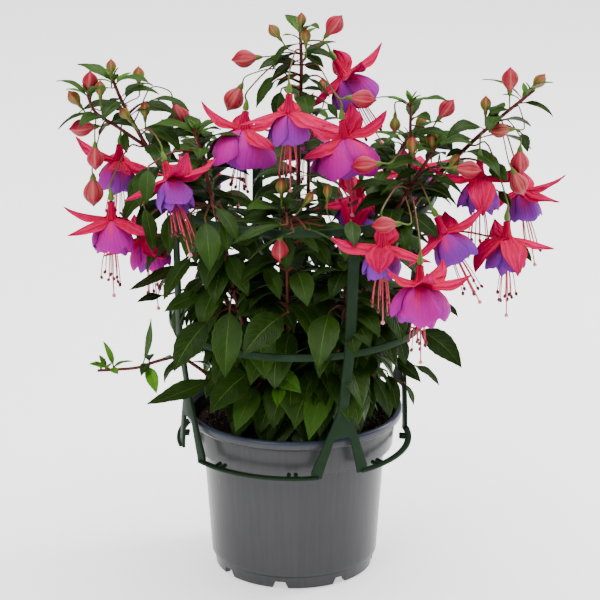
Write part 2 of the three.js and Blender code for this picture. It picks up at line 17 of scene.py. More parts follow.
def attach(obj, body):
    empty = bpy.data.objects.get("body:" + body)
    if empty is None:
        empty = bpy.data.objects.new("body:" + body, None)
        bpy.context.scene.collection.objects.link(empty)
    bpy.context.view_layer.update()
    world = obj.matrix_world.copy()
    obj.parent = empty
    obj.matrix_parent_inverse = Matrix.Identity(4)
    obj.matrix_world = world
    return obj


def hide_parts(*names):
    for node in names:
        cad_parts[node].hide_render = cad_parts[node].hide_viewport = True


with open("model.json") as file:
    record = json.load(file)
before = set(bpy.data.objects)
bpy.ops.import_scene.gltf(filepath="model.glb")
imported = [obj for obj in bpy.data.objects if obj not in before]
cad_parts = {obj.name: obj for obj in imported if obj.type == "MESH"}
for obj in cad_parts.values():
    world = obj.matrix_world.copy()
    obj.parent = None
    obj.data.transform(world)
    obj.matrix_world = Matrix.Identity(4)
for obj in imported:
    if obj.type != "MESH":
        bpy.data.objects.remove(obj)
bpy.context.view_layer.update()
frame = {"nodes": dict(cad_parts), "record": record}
MM = 0.001
TAU = 2 * math.pi


# ---- wiring: node trees written as expressions ----
def srgb(code):
    """A linear colour from a hex code."""
    parts = [int(code[i:i + 2], 16) / 255 for i in (0, 2, 4)]
    return [p / 12.92 if p <= 0.04045 else ((p + 0.055) / 1.055) ** 2.4 for p in parts] + [1.0]


class Wire:
    """The output of a node. Sums written with it become Math nodes in the same tree."""

    def __init__(self, bench, socket):
        self.bench = bench
        self.socket = socket

    def worked(self, operation, *terms):
        return self.bench.node("ShaderNodeMath", {"operation": operation}, dict(enumerate([self, *terms])))

    __add__ = partialmethod(worked, "ADD")
    __sub__ = partialmethod(worked, "SUBTRACT")
    __mul__ = partialmethod(worked, "MULTIPLY")
    sine = partialmethod(worked, "SINE")
    size = partialmethod(worked, "ABSOLUTE")
    rest = partialmethod(worked, "FRACT")

    def __rsub__(self, other):
        return self * -1 + other

    def between(self, low, high):
        """0 below low, 1 above high and a smooth rise between them; low may be the larger."""
        settings = {"interpolation_type": "SMOOTHSTEP"}
        values = {"Value": self, "From Min": low, "From Max": high}
        return self.bench.node("ShaderNodeMapRange", settings, values)

    def lines(self, wide, narrow):
        """1 on a thin line wherever the value passes half way between whole numbers."""
        return (self.rest() - 0.5).size().between(wide, narrow)


class Bench:
    """Lays nodes into one tree and joins their sockets. A colour may be given by its hex code."""

    def __init__(self, tree):
        self.tree = tree

    def node(self, kind, settings=None, values=None, out=0):
        node = self.tree.nodes.new(kind)
        for key, value in (settings or {}).items():
            setattr(node, key, value)
        for key, value in (values or {}).items():
            self.join(node.inputs[key], value)
        return Wire(self, node.outputs[out])

    def join(self, socket, value):
        if isinstance(value, Wire):
            self.tree.links.new(value.socket, socket)
        else:
            socket.default_value = srgb(value) if socket.type == "RGBA" and isinstance(value, str) else value


class Finish(Bench):
    """A material: its fixed sockets are set by name, and what varies over the surface is fed to it."""

    def __init__(self, name, **fixed):
        self.material = bpy.data.materials.new(name)
        self.material.use_nodes = True
        super().__init__(self.material.node_tree)
        self.tree.nodes.clear()
        output = self.tree.nodes.new("ShaderNodeOutputMaterial")
        self.surface = self.tree.nodes.new("ShaderNodeBsdfPrincipled")
        self.tree.links.new(self.surface.outputs[0], output.inputs[0])
        for key, value in fixed.items():
            self.surface.inputs[key.replace("_", " ")].default_value = value

    def marks(self, *names):
        """Numbers kept on the piece's own points."""
        return [self.node("ShaderNodeAttribute", {"attribute_name": name}, out=2) for name in names]

    def place(self):
        return self.node("ShaderNodeTexCoord", out=3)

    def height(self):
        """Height over the ground in millimetres."""
        return self.node("ShaderNodeSeparateXYZ", values={0: self.place()}, out=2) * 1000

    def noise(self, grain, detail=2, stretch=(1, 1, 1)):
        """Noise with a grain of so many millimetres."""
        spread = self.node("ShaderNodeMapping", values={"Vector": self.place(), "Scale": stretch})
        values = {"Vector": spread, "Scale": 1 / (grain * MM), "Detail": detail}
        return self.node("ShaderNodeTexNoise", values=values)

    def layered(self, colour, *layers):
        """A colour with others laid over it in turn, each by its own share."""
        for share, other in layers:
            values = {0: share, 6: colour, 7: other}
            colour = self.node("ShaderNodeMix", {"data_type": "RGBA"}, values, out=2)
        return colour

    def finished(self, colour, rough, height, deep):
        """Feeds the surface. The height, from 0 to 1, raises it up to so many millimetres."""
        values = {"Height": height, "Strength": 1.0, "Distance": deep * MM}
        bump = self.node("ShaderNodeBump", values=values)
        for socket, value in (("Base Color", colour), ("Roughness", rough), ("Normal", bump)):
            self.join(self.surface.inputs[socket], value)
        return self


# ---- piece making ----
def laid_out(name, mesh, finish, crease):
    """A finished object at the origin, smooth except at edges sharper than the crease, in degrees."""
    mesh.shade_smooth()
    mesh.set_sharp_from_angle(angle=math.radians(crease))
    mesh.materials.clear()
    mesh.materials.append(finish.material)
    piece = bpy.data.objects.new(name, mesh)
    bpy.context.scene.collection.objects.link(piece)
    return piece


class Forms:
    """Gathers closed forms for one piece, with marks: numbers kept on every point."""

    def __init__(self, *marks):
        self.points = []
        self.faces = []
        self.marks = {mark: [] for mark in marks}
        self.count = 0

    def add(self, points, faces, **marks):
        points = np.asarray(points, float).reshape(-1, 3)
        self.points.append(points)
        self.faces.extend([[i + self.count for i in face] for face in faces])
        for name, values in self.marks.items():
            values.append(np.broadcast_to(np.asarray(marks.get(name, 0.0), float).ravel(), len(points)))
        self.count += len(points)

    def add_blade(self, grid, thick, facing, rows, cols, bloom=None, **marks):
        """Adds a thin shell over a grid, marked along its rows and across its columns."""
        points, faces, under = thin_shell(grid, thick, facing)
        along, across = (both_skins(mark) for mark in np.meshgrid(rows, cols, indexing="ij"))
        if bloom:
            points = hung(points, bloom)
        self.add(points, faces, along=along, across=across, under=under, **marks)

    def filled(self, name, edges=(), faces=()):
        mesh = bpy.data.meshes.new(name)
        mesh.from_pydata((np.concatenate(self.points) * MM).tolist(), edges, faces)
        for mark, values in self.marks.items():
            attribute = mesh.attributes.new(mark, "FLOAT", "POINT")
            attribute.data.foreach_set("value", np.concatenate(values).astype(np.float32))
        return mesh

    def mesh(self, name):
        return self.filled(name, faces=self.faces)

    def piece(self, name, finish, crease):
        return laid_out(name, self.mesh(name), finish, crease)


def joined(name, *pieces):
    """One object made of several."""
    first = pieces[0]
    with bpy.context.temp_override(active_object=first, selected_editable_objects=list(pieces)):
        bpy.ops.object.join()
    first.name = name
    return first


def settled(piece, node):
    """Hands a finished piece to the frame."""
    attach(piece, "root")
    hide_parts(node)


def table(text):
    """Rows of numbers and words: a semicolon ends a row."""
    rows = [row.split() for row in text.split(";")]
    return [[float(word) if word[-1].isdigit() else word for word in row] for row in rows]


def numbers(text):
    return np.array(table(text)[0])


def unit(v):
    v = np.asarray(v, float)
    return v / np.linalg.norm(v)


def draw(a, b):
    """A repeatable draw from 0 to 1 for a numbered thing."""
    s = math.sin(a * 12.9898 + b * 78.233) * 43758.5453
    return s - math.floor(s)


def quads(index):
    """The faces between the points of a numbered grid."""
    return np.stack([index[:-1, :-1], index[1:, :-1], index[1:, 1:], index[:-1, 1:]], -1)


def thin_shell(grid, thick, facing):
    """Two skins that close on each other at the margin of a grid of points, the first one facing as told.
    Gives points, faces and a mark that is 1 on the back skin."""
    rows, cols = grid.shape[:2]
    normal = np.cross(np.gradient(grid, axis=0), np.gradient(grid, axis=1))
    normal /= np.linalg.norm(normal, axis=2, keepdims=True) + 1e-9
    turned = float(normal[rows // 2, cols // 2] @ np.asarray(facing)) < 0
    if turned:
        normal = -normal
    half = np.zeros((rows, cols, 1))
    half[1:-1, 1:-1] = thick / 2
    back = (grid - normal * half)[1:-1, 1:-1].reshape(-1, 3)
    index = np.arange(rows * cols).reshape(rows, cols)
    under = index.copy()
    under[1:-1, 1:-1] = rows * cols + np.arange(len(back)).reshape(rows - 2, cols - 2)
    skins = [quads(index).reshape(-1, 4), quads(under).reshape(-1, 4)]
    skins[not turned] = skins[not turned][:, ::-1]
    points = np.concatenate([(grid + normal * half).reshape(-1, 3), back])
    mark = np.concatenate([np.zeros(rows * cols), np.ones(len(back))])
    return points, np.concatenate(skins).tolist(), mark


def both_skins(values):
    """A mark given for the whole grid, repeated for the back skin of a thin shell."""
    return np.concatenate([values.ravel(), values[1:-1, 1:-1].ravel()])


def tube_faces(rings, sides):
    """The faces of a closed tube: a first point, so many rings, and a last point. A tube that is turned about
    its own aim has them outward."""
    faces = []
    last = 1 + (rings - 1) * sides
    for c in range(sides):
        d = (c + 1) % sides
        faces.append([0, 1 + d, 1 + c])
        for a in range(1, last, sides):
            faces.append([a + c, a + d, a + d + sides, a + c + sides])
        faces.append([last + c, last + d, last + sides])
    return faces


def round_form(base, aim, profile, sides, ribs=0, rib_depth=0.0, turn=0.0):
    """A closed form along an aim from a base point: the profile lists distance along and radius.
    Gives points, faces, the share along it and a rib mark from -1 to 1."""
    aim = unit(aim)
    side = unit(np.cross([0.0, 1.0, 0.0] if abs(aim[1]) < 0.8 else [1.0, 0.0, 0.0], aim))
    up = np.cross(aim, side)
    base = np.asarray(base, float)
    angle = np.arange(sides) * TAU / sides + turn
    rib = np.cos(ribs * angle) if ribs else np.zeros(sides)
    start, end = profile[0][0], profile[-1][0]
    points, along = [base + aim * start], [0.0]
    for distance, radius in profile[1:-1]:
        r = radius * (1 + rib_depth * rib)
        ring = base + aim * distance + np.outer(r * np.cos(angle), side) + np.outer(r * np.sin(angle), up)
        points.extend(ring)
        along.extend([(distance - start) / (end - start)] * sides)
    points.append(base + aim * end)
    rings = len(profile) - 2
    ribbed = np.concatenate([[0], np.tile(rib, rings), [0]])
    return np.array(points), tube_faces(rings, sides), np.array(along + [1.0]), ribbed


# ---- geometry node trees ----
class Growth(Bench):
    """A geometry tree with named inputs. It ends in Realize Instances and Set Material."""

    KINDS = {int: "NodeSocketInt", float: "NodeSocketFloat", "material": "NodeSocketMaterial"}

    def __init__(self, name, **inputs):
        tree = bpy.data.node_groups.new(name, "GeometryNodeTree")
        super().__init__(tree)
        for way in ("INPUT", "OUTPUT"):
            tree.interface.new_socket("Geometry", in_out=way, socket_type="NodeSocketGeometry")
        self.keys = {}
        for label, kind in {**inputs, "Finish": "material"}.items():
            label = label.replace("_", " ")
            socket = tree.interface.new_socket(label, in_out="INPUT", socket_type=self.KINDS[kind])
            self.keys[label] = socket.identifier
        self.start = tree.nodes.new("NodeGroupInput")

    def geo(self, kind, settings=None, values=None):
        return self.node("GeometryNode" + kind, settings, values)

    def given(self, label):
        return Wire(self, self.start.outputs[label])

    def end(self, grown):
        real = self.geo("RealizeInstances", values={0: grown})
        smooth = self.geo("SetShadeSmooth", values={0: real})
        clad = self.geo("SetMaterial", values={0: smooth, "Material": self.given("Finish")})
        output = self.tree.nodes.new("NodeGroupOutput")
        self.tree.links.new(clad.socket, output.inputs[0])
        return self

    def grow(self, name, mesh, finish, crease, **values):
        """The plain object that this tree makes from a mesh of points and edges, or of faces."""
        seed = bpy.data.objects.new(name + "_seed", mesh)
        bpy.context.scene.collection.objects.link(seed)
        modifier = seed.modifiers.new("growth", "NODES")
        modifier.node_group = self.tree
        for label, value in {**values, "Finish": finish.material}.items():
            modifier[self.keys[label.replace("_", " ")]] = value
        depsgraph = bpy.context.evaluated_depsgraph_get()
        grown = bpy.data.meshes.new_from_object(seed.evaluated_get(depsgraph), depsgraph=depsgraph)
        bpy.data.objects.remove(seed)
        grown.name = name
        return laid_out(name, grown, finish, crease)


def strand_growth():
    """Sweeps a round strand along every chain of edges: the point mark "thick" is its radius."""
    growth = Growth("strand_growth", Sides=int, Steps=int)
    curve = growth.geo("MeshToCurve", values={0: growth.given("Geometry")})
    curve = growth.geo("CurveSplineType", {"spline_type": "CATMULL_ROM"}, {0: curve})
    curve = growth.geo("SetSplineResolution", values={0: curve, "Resolution": growth.given("Steps")})
    profile = growth.geo("CurvePrimitiveCircle", {"mode": "RADIUS"},
                         {"Resolution": growth.given("Sides"), "Radius": 1.0})
    thick = growth.geo("InputNamedAttribute", {"data_type": "FLOAT"}, {"Name": "thick"})
    swept = {0: curve, 1: profile, "Scale": thick, "Fill Caps": True}
    return growth.end(growth.geo("CurveToMesh", values=swept))


def band_growth():
    """Sweeps a flat band with rounded edges along every chain of edges, standing upright."""
    growth = Growth("band_growth", Deep=float, Tall=float, Corner=float)
    curve = growth.geo("MeshToCurve", values={0: growth.given("Geometry")})
    curve = growth.geo("SetCurveNormal", {"mode": "Z_UP"}, {0: curve})
    section = growth.geo("CurvePrimitiveQuadrilateral", {"mode": "RECTANGLE"},
                         {"Width": growth.given("Deep"), "Height": growth.given("Tall")})
    section = growth.geo("FilletCurve", {"mode": "POLY"},
                         {"Curve": section, "Count": 2, "Radius": growth.given("Corner")})
    return growth.end(growth.geo("CurveToMesh", values={0: curve, 1: section, "Fill Caps": True}))


def crumb_growth():
    """Strews small lumps over a surface."""
    growth = Growth("crumb_growth", Crumbs_per_square_metre=float, Least=float, Most=float, Seed=int)

    def random(kind, values, out=0):
        return growth.node("FunctionNodeRandomValue", {"data_type": kind}, values, out)

    spots = growth.geo("DistributePointsOnFaces", {"distribute_method": "RANDOM"},
                       {"Mesh": growth.given("Geometry"), "Density": growth.given("Crumbs per square metre"),
                        "Seed": growth.given("Seed")})
    lump = growth.geo("MeshIcoSphere", values={"Radius": 1.0, "Subdivisions": 1})
    turn = random("FLOAT_VECTOR", {0: (0, 0, 0), 1: (TAU, TAU, TAU), "Seed": 3})
    shape = random("FLOAT_VECTOR", {0: (0.5, 0.5, 0.35), 1: (1.3, 1.0, 0.8), "Seed": 5})
    size = random("FLOAT", {2: growth.given("Least"), 3: growth.given("Most"), "Seed": 7}, out=1)
    scale = growth.node("ShaderNodeVectorMath", {"operation": "SCALE"}, {0: shape, "Scale": size})
    values = {"Points": spots, "Instance": lump, "Rotation": turn, "Scale": scale}
    return growth.end(growth.geo("InstanceOnPoints", values=values))


class Strands(Forms):
    """Gathers chains of points with a radius and a tone at each, for one sweep."""

    def __init__(self):
        super().__init__("thick", "tone")

    def chain(self, points, radii, tones, closed=False):
        links = [(i, i + 1) for i in range(len(points) - 1)]
        if closed:
            links.append((len(points) - 1, 0))
        self.add(points, links, thick=np.array(radii, np.float32) * MM, tone=tones)

    def mesh(self, name):
        return self.filled(name, edges=self.faces)


# ---- sizes, as the solids have them ----
POT_OUTER = table("56.2 8.6; 56.3 9; 57.5 9.3; 57.8 9.8; 58 13; 60.3 48; 62.8 85; 62.9 87; 64 88; 68 88.7; "
                  "68.6 89.2; 68.8 91; 70.3 107.6; 70.2 108.4; 69.9 108.7; 70.1 109.2; 73.8 109.5; "
                  "74.6 110.3; 75 112; 75 114; 74.6 115.3; 73.6 116; 72.4 116")
POT_INNER = table("70.6 114.6; 69.4 111.5; 69 109.5; 67 90.4; 61.2 87; 55.5 6.5")
NOTCH = Sizes(count=8, wide=11.0, top=7.0, tall=5.0, turn=-10.0, radius=55.0)
SOIL_SIDE = table("54.8 6.9; 60.7 87.2; 66.4 90.9; 68 102.5")
SOIL = Sizes(top=104.0, reach=67.2, hole=1.2, rings=46, sides=120, crumbs_reach=64,
             crumbs_grid=50)
RACK = Sizes(legs=(23.3, 113, 199, 295), thick=2.0, leg_wide=6.4, foot_spread=12.7, lean=4.0,
             hoop_z=92.0, web_z=119, web_half=5.5, apex_z=140.0, mid_z=181.0, top_z=268.0,
             hoop_r=77.0, mid_r=86.0, top_r=90.0, hoop_tall=1.8, hoop_deep=4.5, ring_tall=5.0,
             knobs=(-20, 20), knob_reach=5.0, edge=0.45)
STEM_FOOT = 75.0
OVARY = Sizes(long=7.0, radius=2.0)
TUBE = Sizes(long=11.5, top=2.3, neck=4.2)
SEPAL = Sizes(long=33.0, half=8.0, thick=0.9)
SEPAL_BENDS = {"up": (40, 62), "rise": (14, 30), "flat": (2, 12), "dip": (-4, -34), "hang": (-6, -84)}
COROLLA = Sizes(radius=14.5, tall=24.0)
DIRECTIONS = {"up": (0, 0, 1), "down": (0, 0, -1), "left": (-1, 0, -0.1), "right": (1, 0, -0.1),
              "up_left": (-0.6, 0, 0.8), "up_right": (0.6, 0, 0.8),
              "down_left": (-0.5, 0, -0.9), "down_right": (0.4, 0, -0.9)}

# ---- the stems: each one's root radius, its leaves, its route and side shoots, and its buds. A bud has the
# place of its middle, its length and the way it points ----
LeafPlan = namedtuple("LeafPlan", "first last pairs long wide turn fresh", defaults=[1.0])
Stem = namedtuple("Stem", "name root leaves routes buds", defaults=[""])
STEMS = [
    Stem("centre", 2.6, LeafPlan(0.12, 0.95, 8, 48, 21, 20),
         ["5 9 112; 4 16 190; 3 10 290; 5 0 350; 4 -6 386"],
         "5 -12 391 9 up; -13 -10 383 10 up_left; 8 -16 381 9 up; 27 -9 387 15 up_right; "
         "-33 -9 364 16 left; -40 -12 337 17 down_left; 46 -34 343 16 right"),
    Stem("left", 2.4, LeafPlan(0.1, 0.94, 8, 50, 21, 60),
         ["-11 1 112; -40 -6 180; -72 -12 258; -98 -16 305; -114 -13 335; -121 -10 352",
          "-98 -16 305; -118 -18 320; -132 -18 330; -137 -18 342"],
         "-121 -14 360 9 up; -103 -12 354 10 up; -128 -22 347 10 up; -99 -16 331 10 up; "
         "-112 -26 331 9 up_left; -141 -22 320 16 left; -131 -40 304 15 down; -133 -38 280 18 down; "
         "-76 -10 326 16 down_right; -88 -28 306 9 up; -146 -16 339 11 up_left; -135 -16 350 14 up"),
    Stem("left_front", 2.2, LeafPlan(0.04, 0.94, 9, 54, 24, 10),
         ["-13 -13 112; -32 -28 175; -48 -34 245; -60 -32 300; -66 -28 322"]),
    Stem("low_left", 1.6, LeafPlan(0.3, 0.94, 4, 24, 11, 80, 1.7),
         ["-25 -7 112; -52 -14 136; -78 -20 157; -106 -26 152; -134 -27 150"]),
    Stem("front_centre", 2, LeafPlan(0.03, 0.93, 9, 54, 25, 35),
         ["0 -17 112; -3 -40 175; -5 -52 240; -5 -58 280"],
         "-8 -62 291 10 up; 10 -64 284 8 up_right; -9 -74 251 15 down"),
    Stem("front_right", 2, LeafPlan(0.03, 0.93, 8, 52, 24, 0),
         ["18 -16 112; 28 -44 160; 34 -54 205; 38 -52 250"],
         "22 -62 288 8 up"),
    Stem("right_front", 2.4, LeafPlan(0.08, 0.94, 8, 50, 21, 45),
         ["13 -1 112; 40 -24 180; 60 -36 250; 84 -38 295; 96 -36 314",
          "76 -37 280; 77 -32 315; 77 -30 340"],
         "67 -28 324 10 down; 78 -46 315 11 up; 101 -28 335 14 up_right; 91 -36 316 11 up; "
         "106 -44 304 9 up_right; 58 -110 280 15 left; 46 -62 306 16 left"),
    Stem("right", 2.4, LeafPlan(0.1, 0.94, 8, 50, 21, 75),
         ["27 3 112; 50 -6 180; 78 -12 258; 110 -18 300; 136 -18 325; 160 -14 344"],
         "127 -24 337 10 up; 143 -20 353 15 up; 163 -14 350 11 up_right; 136 -32 321 13 left; "
         "150 -30 298 16 down; 115 -52 300 16 right; 149 -38 286 16 down_right"),
    Stem("back", 2.4, LeafPlan(0.1, 0.94, 6, 50, 22, 15),
         ["4 27 112; 8 50 180; 10 60 262; 10 62 318"],
         "20 66 326 10 up; 0 70 322 9 up_left"),
    Stem("back_left", 2.2, LeafPlan(0.05, 0.94, 6, 50, 22, 50),
         ["-15 17 112; -40 38 180; -56 50 258; -70 58 296"],
         "-76 64 304 10 up"),
    Stem("back_right", 2.2, LeafPlan(0.05, 0.94, 6, 50, 22, 70),
         ["21 19 112; 46 36 180; 60 46 258; 82 56 294"],
         "88 60 302 10 up_right"),
]

# ---- the leaves placed one by one, by stem: leaf base, leaf point, width, arch, roll and how young ----
SPRAYS = {
    "centre": """
    -1 -8 363 -16 -10 347 10 20 20 .2; -2 -8 376 -15 -12 361 9 30 0 .3;
    -11 -10 354 -25 -14 336 10 15 10 .1; 6 -6 367 20 -14 359 10 15 -10 .1;
    10 -4 352 24 -12 338 10 18 15 .1; -8 -14 345 -12 -22 326 11 12 25 .1;
    -2 -4 376 -14 -17 358 9 40 -15 .3; -2 -3 368 -13 -11 358 6 35 5 .3; 5 -3 366 28 -12 363 9 35 -20 .2;
    6 -2 360 19 -9 355 6 20 -55 .2; -1 -1 354 -12 -9 344 6 30 25 .2; -11 -14 351 -25 -27 335 9 20 0 .1;
    -3 1 346 11 -10 352 8 10 -75 .1; 6 1 344 19 -5 341 5 20 -30 .2; 6 1 340 10 -9 331 6 20 -20 .2;
    21 -20 337 29 -28 328 6 20 -40 .2; 19 -20 309 7 -33 307 8 15 50; 2 13 253 28 5 250 10 22 -25 .4""",
    "left": """
    -75 -24 228 -110 -44 214 16 -10 5; -87 -24 203 -106 -32 201 8 15 25; -97 -60 269 -93 -75 251 9 12 20;
    -73 -30 202 -79 -31 174 11 18 55; -71 -20 177 -79 -31 165 8 18 30;
    -108 -12 342 -89 -19 342 8 40 -20 .4; -109 -13 341 -124 -21 336 7 30 5 .4;
    -97 -14 336 -69 -25 332 11 35 -5 .2; -105 -14 330 -121 -23 324 7 28 20 .3;
    -135 -18 328 -156 -30 321 9 32 -5 .3; -118 -18 315 -111 -28 304 8 25 -35 .2;
    -103 -16 305 -81 -20 330 14 -30 -75; -102 -16 304 -58 -27 314 17 38 -15;
    -99 -30 289 -110 -46 279 10 15 35; -99 -56 278 -92 -78 251 13 15 25;
    -88 -20 306 -77 -33 300 8 25 -40 .1""",
    "left_front": """
    -58 -74 274 -54 -102 246 18 20 -5; -47 -48 242 -30 -69 218 15 15 -35; -66 -46 240 -86 -69 215 15 15 5;
    -59 -48 213 -86 -63 205 12 12 55; -54 -60 200 -79 -88 172 21 18 35; -42 -66 211 -45 -100 172 23 22 0;
    -51 -38 151 -99 -62 139 20 -8 15; -25 -42 157 -56 -79 139 23 18 40;
    -23 -38 145 -39 -75 124 23 20 25 1.35; -38 -58 268 -8 -70 266 12 18 -15;
    -41 -46 243 -21 -50 254 9 12 -40; -83 -60 273 -81 -79 249 12 15 0; -68 -62 273 -70 -82 249 12 18 0;
    -45 -72 276 -43 -89 255 11 18 0; -32 -40 212 -21 -40 184 14 20 -75; -36 -36 175 -21 -64 157 17 18 -25;
    -53 -30 180 -66 -46 168 11 18 35; -33 -20 126 -45 -39 117 11 18 35 .1;
    -55 -30 244 -65 -45 228 11 18 30; -42 -30 225 -49 -45 207 11 20 25; -94 -74 309 -95 -92 288 12 20 0;
    -70 -26 306 -63 -29 310 4 15 -75 .8; -72 -26 305 -78 -33 297 6 20 40 .6;
    -59 -30 296 -29 -42 293 12 28 -5; -59 -36 282 -39 -47 274 9 25 -5; -53 -70 281 -36 -89 261 12 25 -10;
    -73 -24 293 -62 -40 285 10 20 -35; -49 -60 265 -2 -78 266 18 20 0""",
    "low_left": """
    -102 -25 156 -93 -45 140 12 15 -20 2; -104 -25 161 -97 -25 187 10 -10 -35 1.2;
    -124 -25 159 -130 -25 171 6 15 75 1.7; -126 -25 158 -119 -37 151 7 20 -30 1.9;
    -127 -25 159 -139 -31 156 5 20 60 1.9; -88 -25 168 -84 -40 163 8 15 -15 .3""",
    "front_centre": """
    -4 -92 275 -40 -97 263 14 14 10 .3; 0 -93 270 -30 -100 252 13 16 -14 .35;
    8 -92 272 29 -97 262 12 12 20 .3; -4 -70 207 -33 -112 192 24 15 40;
    -9 -52 149 -11 -79 143 13 25 0 1.6; -4 -64 263 -5 -83 240 13 15 0; 1 -62 235 9 -97 220 18 20 -10;
    -15 -46 152 5 -76 152 19 25 -50 1.5; -17 -40 205 -39 -52 197 11 18 55; 4 -50 188 -7 -79 168 17 20 15;
    11 -50 251 24 -64 236 11 20 -40; -21 -46 234 -9 -63 213 12 18 -30; -2 -58 278 -23 -64 286 9 15 35 .5;
    18 -50 265 15 -52 294 11 10 70; -13 -54 273 -32 -63 270 8 20 35 .1; 18 -60 264 35 -68 262 7 20 -60""",
    "front_right": """
    24 -72 209 16 -117 184 23 24 5; 22 -46 153 10 -85 122 26 22 15 1.45; 14 -48 160 7 -74 145 14 15 10 .1;
    47 -58 207 50 -77 188 12 18 -5; 52 -36 152 65 -39 120 13 18 -65; 37 -82 275 39 -107 264 12 15 0;
    31 -50 188 41 -77 170 15 18 -20; 34 -56 237 24 -77 218 14 18 20; 40 -30 124 31 -44 106 12 18 25 1.4;
    48 -50 235 58 -67 215 12 18 -25""",
    "right_front": """
    57 -38 169 39 -69 153 18 15 30; 64 -28 160 86 -42 147 11 18 -50 .1; 63 -30 151 70 -47 128 11 15 -20;
    81 -42 186 112 -65 166 18 22 -50; 74 -54 271 95 -70 258 13 15 -50; 59 -40 205 70 -58 183 12 20 -25;
    66 -36 183 75 -37 157 11 20 -70; 67 -50 287 37 -61 288 12 32 10; 90 -40 291 111 -53 283 10 32 -5 .1;
    80 -38 298 67 -46 290 7 28 50 .1; 86 -30 282 105 -45 278 11 15 -55;
    79 -34 318 103 -45 320 10 38 -20 .3; 65 -34 308 60 -45 294 8 20 20 .1""",
    "right": """
    80 -20 152 99 -32 141 10 22 0; 76 -16 137 82 -25 124 6 22 10; 98 -40 204 110 -48 196 6 20 -20;
    149 -17 330 128 -24 328 8 32 15 .4; 142 -18 324 129 -21 327 6 15 70 .3;
    158 -15 332 172 -24 328 6 35 -25 .4; 151 -18 316 155 -32 306 8 22 -15 .2;
    128 -19 309 100 -27 309 11 35 15 .1; 113 -18 304 101 -24 300 5 25 60 .2;
    129 -22 295 141 -46 290 12 15 -35; 135 -24 278 145 -33 268 7 15 -45;
    118 -20 292 132 -35 274 10 20 -35; 148 -30 242 159 -40 232 6 20 -45""",
}

# ---- the blooms: stem, neck, way they hang, fullness, tone, and each sepal's turn, bend and share ----
Bloom = namedtuple("Bloom", "name stem neck hang full tone sepals")
BLOOMS = [
    Bloom("left_low", "left", (-121, -44, 264), (0, -0.1), 1, 0.05,
          "168 flat; 212 dip; 335 dip; 80 hang"),
    Bloom("left_inner", "left", (-99, -6, 240), (0.1, 0), 1, 0.1,
          "200 dip; 290 dip; 20 dip; 110 flat"),
    Bloom("left_front", "left", (-81, -70, 299), (0.3, -0.6), 0.88, 0.44,
          "8 flat; 192 dip; 300 flat; 100 dip .5"),
    Bloom("left_outer", "left", (-119, 12, 288), (-0.1, 0.1), 0.9, 0.3,
          "180 rise; 275 flat; 0 dip; 90 dip"),
    Bloom("centre_left", "centre", (-33, -30, 322), (-0.1, -0.1), 1.25, 0.08,
          "170 rise; 22 rise .8; 312 dip; 90 rise .55"),
    Bloom("centre_front", "centre", (-3, -58, 341), (0, -0.1), 0.85, 0.36,
          "188 dip; 318 dip; 347 dip; 90 rise .45"),
    Bloom("centre_top", "centre", (33, 2, 350), (0.55, -0.1), 1.05, 0.28,
          "8 flat; 192 dip; 80 up .62; 300 flat"),
    Bloom("centre_right", "centre", (33, -38, 318), (0.1, -0.1), 1.3, 0.06,
          "12 rise; 175 rise .8; 62 up .75; 212 dip"),
    Bloom("centre_low", "centre", (44, -6, 268), (-0.1, 0), 0.95, 0.65,
          "205 dip; 262 hang; 325 dip; 110 rise"),
    Bloom("front_left", "right_front", (57, -100, 263), (0, 0), 0.82, 0.42,
          "184 flat; 262 hang .68; 343 dip; 70 up .5"),
    Bloom("front_right", "right_front", (99, -62, 260), (0.5, -0.15), 0.92, 0.4,
          "198 dip; 352 flat; 75 rise .62; 120 flat .6"),
    Bloom("front_low", "right_front", (81, -119, 244), (0, -0.1), 1.2, 0.02,
          "196 rise .75; 352 flat; 48 rise .8; 280 rise .8"),
    Bloom("right_front", "right", (123, -38, 290), (0, -0.1), 0.9, 0.4,
          "178 flat; 272 hang; 28 flat; 90 dip"),
    Bloom("right_outer", "right", (153, 0, 270), (0.2, -0.1), 0.8, 0.42,
          "345 flat; 316 dip; 190 dip; 80 flat"),
    Bloom("right_low", "right", (141, -50, 252), (0, -0.1), 0.88, 0.62,
          "285 hang; 205 hang; 10 dip; 100 flat"),
    Bloom("back_left", "back_left", (-66, 92, 262), (-0.1, 0.2), 1, 0.2,
          "30 flat; 120 dip; 210 flat; 300 flat"),
    Bloom("back_centre", "back", (10, 114, 284), (0, 0.2), 1.1, 0.1,
          "20 dip; 90 hang; 165 dip; 270 rise"),
    Bloom("back_right", "back_right", (84, 84, 262), (0.1, 0.2), 1, 0.4,
          "0 flat; 80 dip; 160 dip; 250 up"),
]


# ---- finishes ----
def pot_plastic():
    """Satin grey moulded plastic with faint draw marks down the wall, a painted bluish highlight on the top
    of the rolled lip, a painted shadow under the lip and painted shade in the step above the foot.
    """
    finish = Finish("pot_plastic", IOR=1.42, Specular_IOR_Level=0.22)
    marks = finish.noise(3, 2, (1, 1, 0.03))
    # Painted highlight: a bluish tint on the lip's upper rounding stands in for light caught there.
    lip = finish.height().between(112.4, 114.4)
    # Painted shadow: a dark line just under the lip, where its overhang shades the band.
    under_lip_shadow = (finish.height() - 109.9).size().between(1.0, 0.4)
    # Painted shade: a dark line in the step just above the foot.
    crease = (finish.height() - 9.4).size().between(1.1, 0.4)
    colour = finish.layered("3d3d3f", (marks.between(0.3, 0.75) * 0.35, "474749"),
                            (finish.noise(45).between(0.35, 0.8) * 0.25, "363639"), (lip * 0.8, "333b4a"),
                            (under_lip_shadow * 0.8, "141418"), (crease * 0.8, "18181c"))
    rough = marks * 0.04 + finish.noise(14) * 0.05 + 0.21
    return finish.finished(colour, rough, finish.noise(0.6) + marks * 0.1, 0.02)


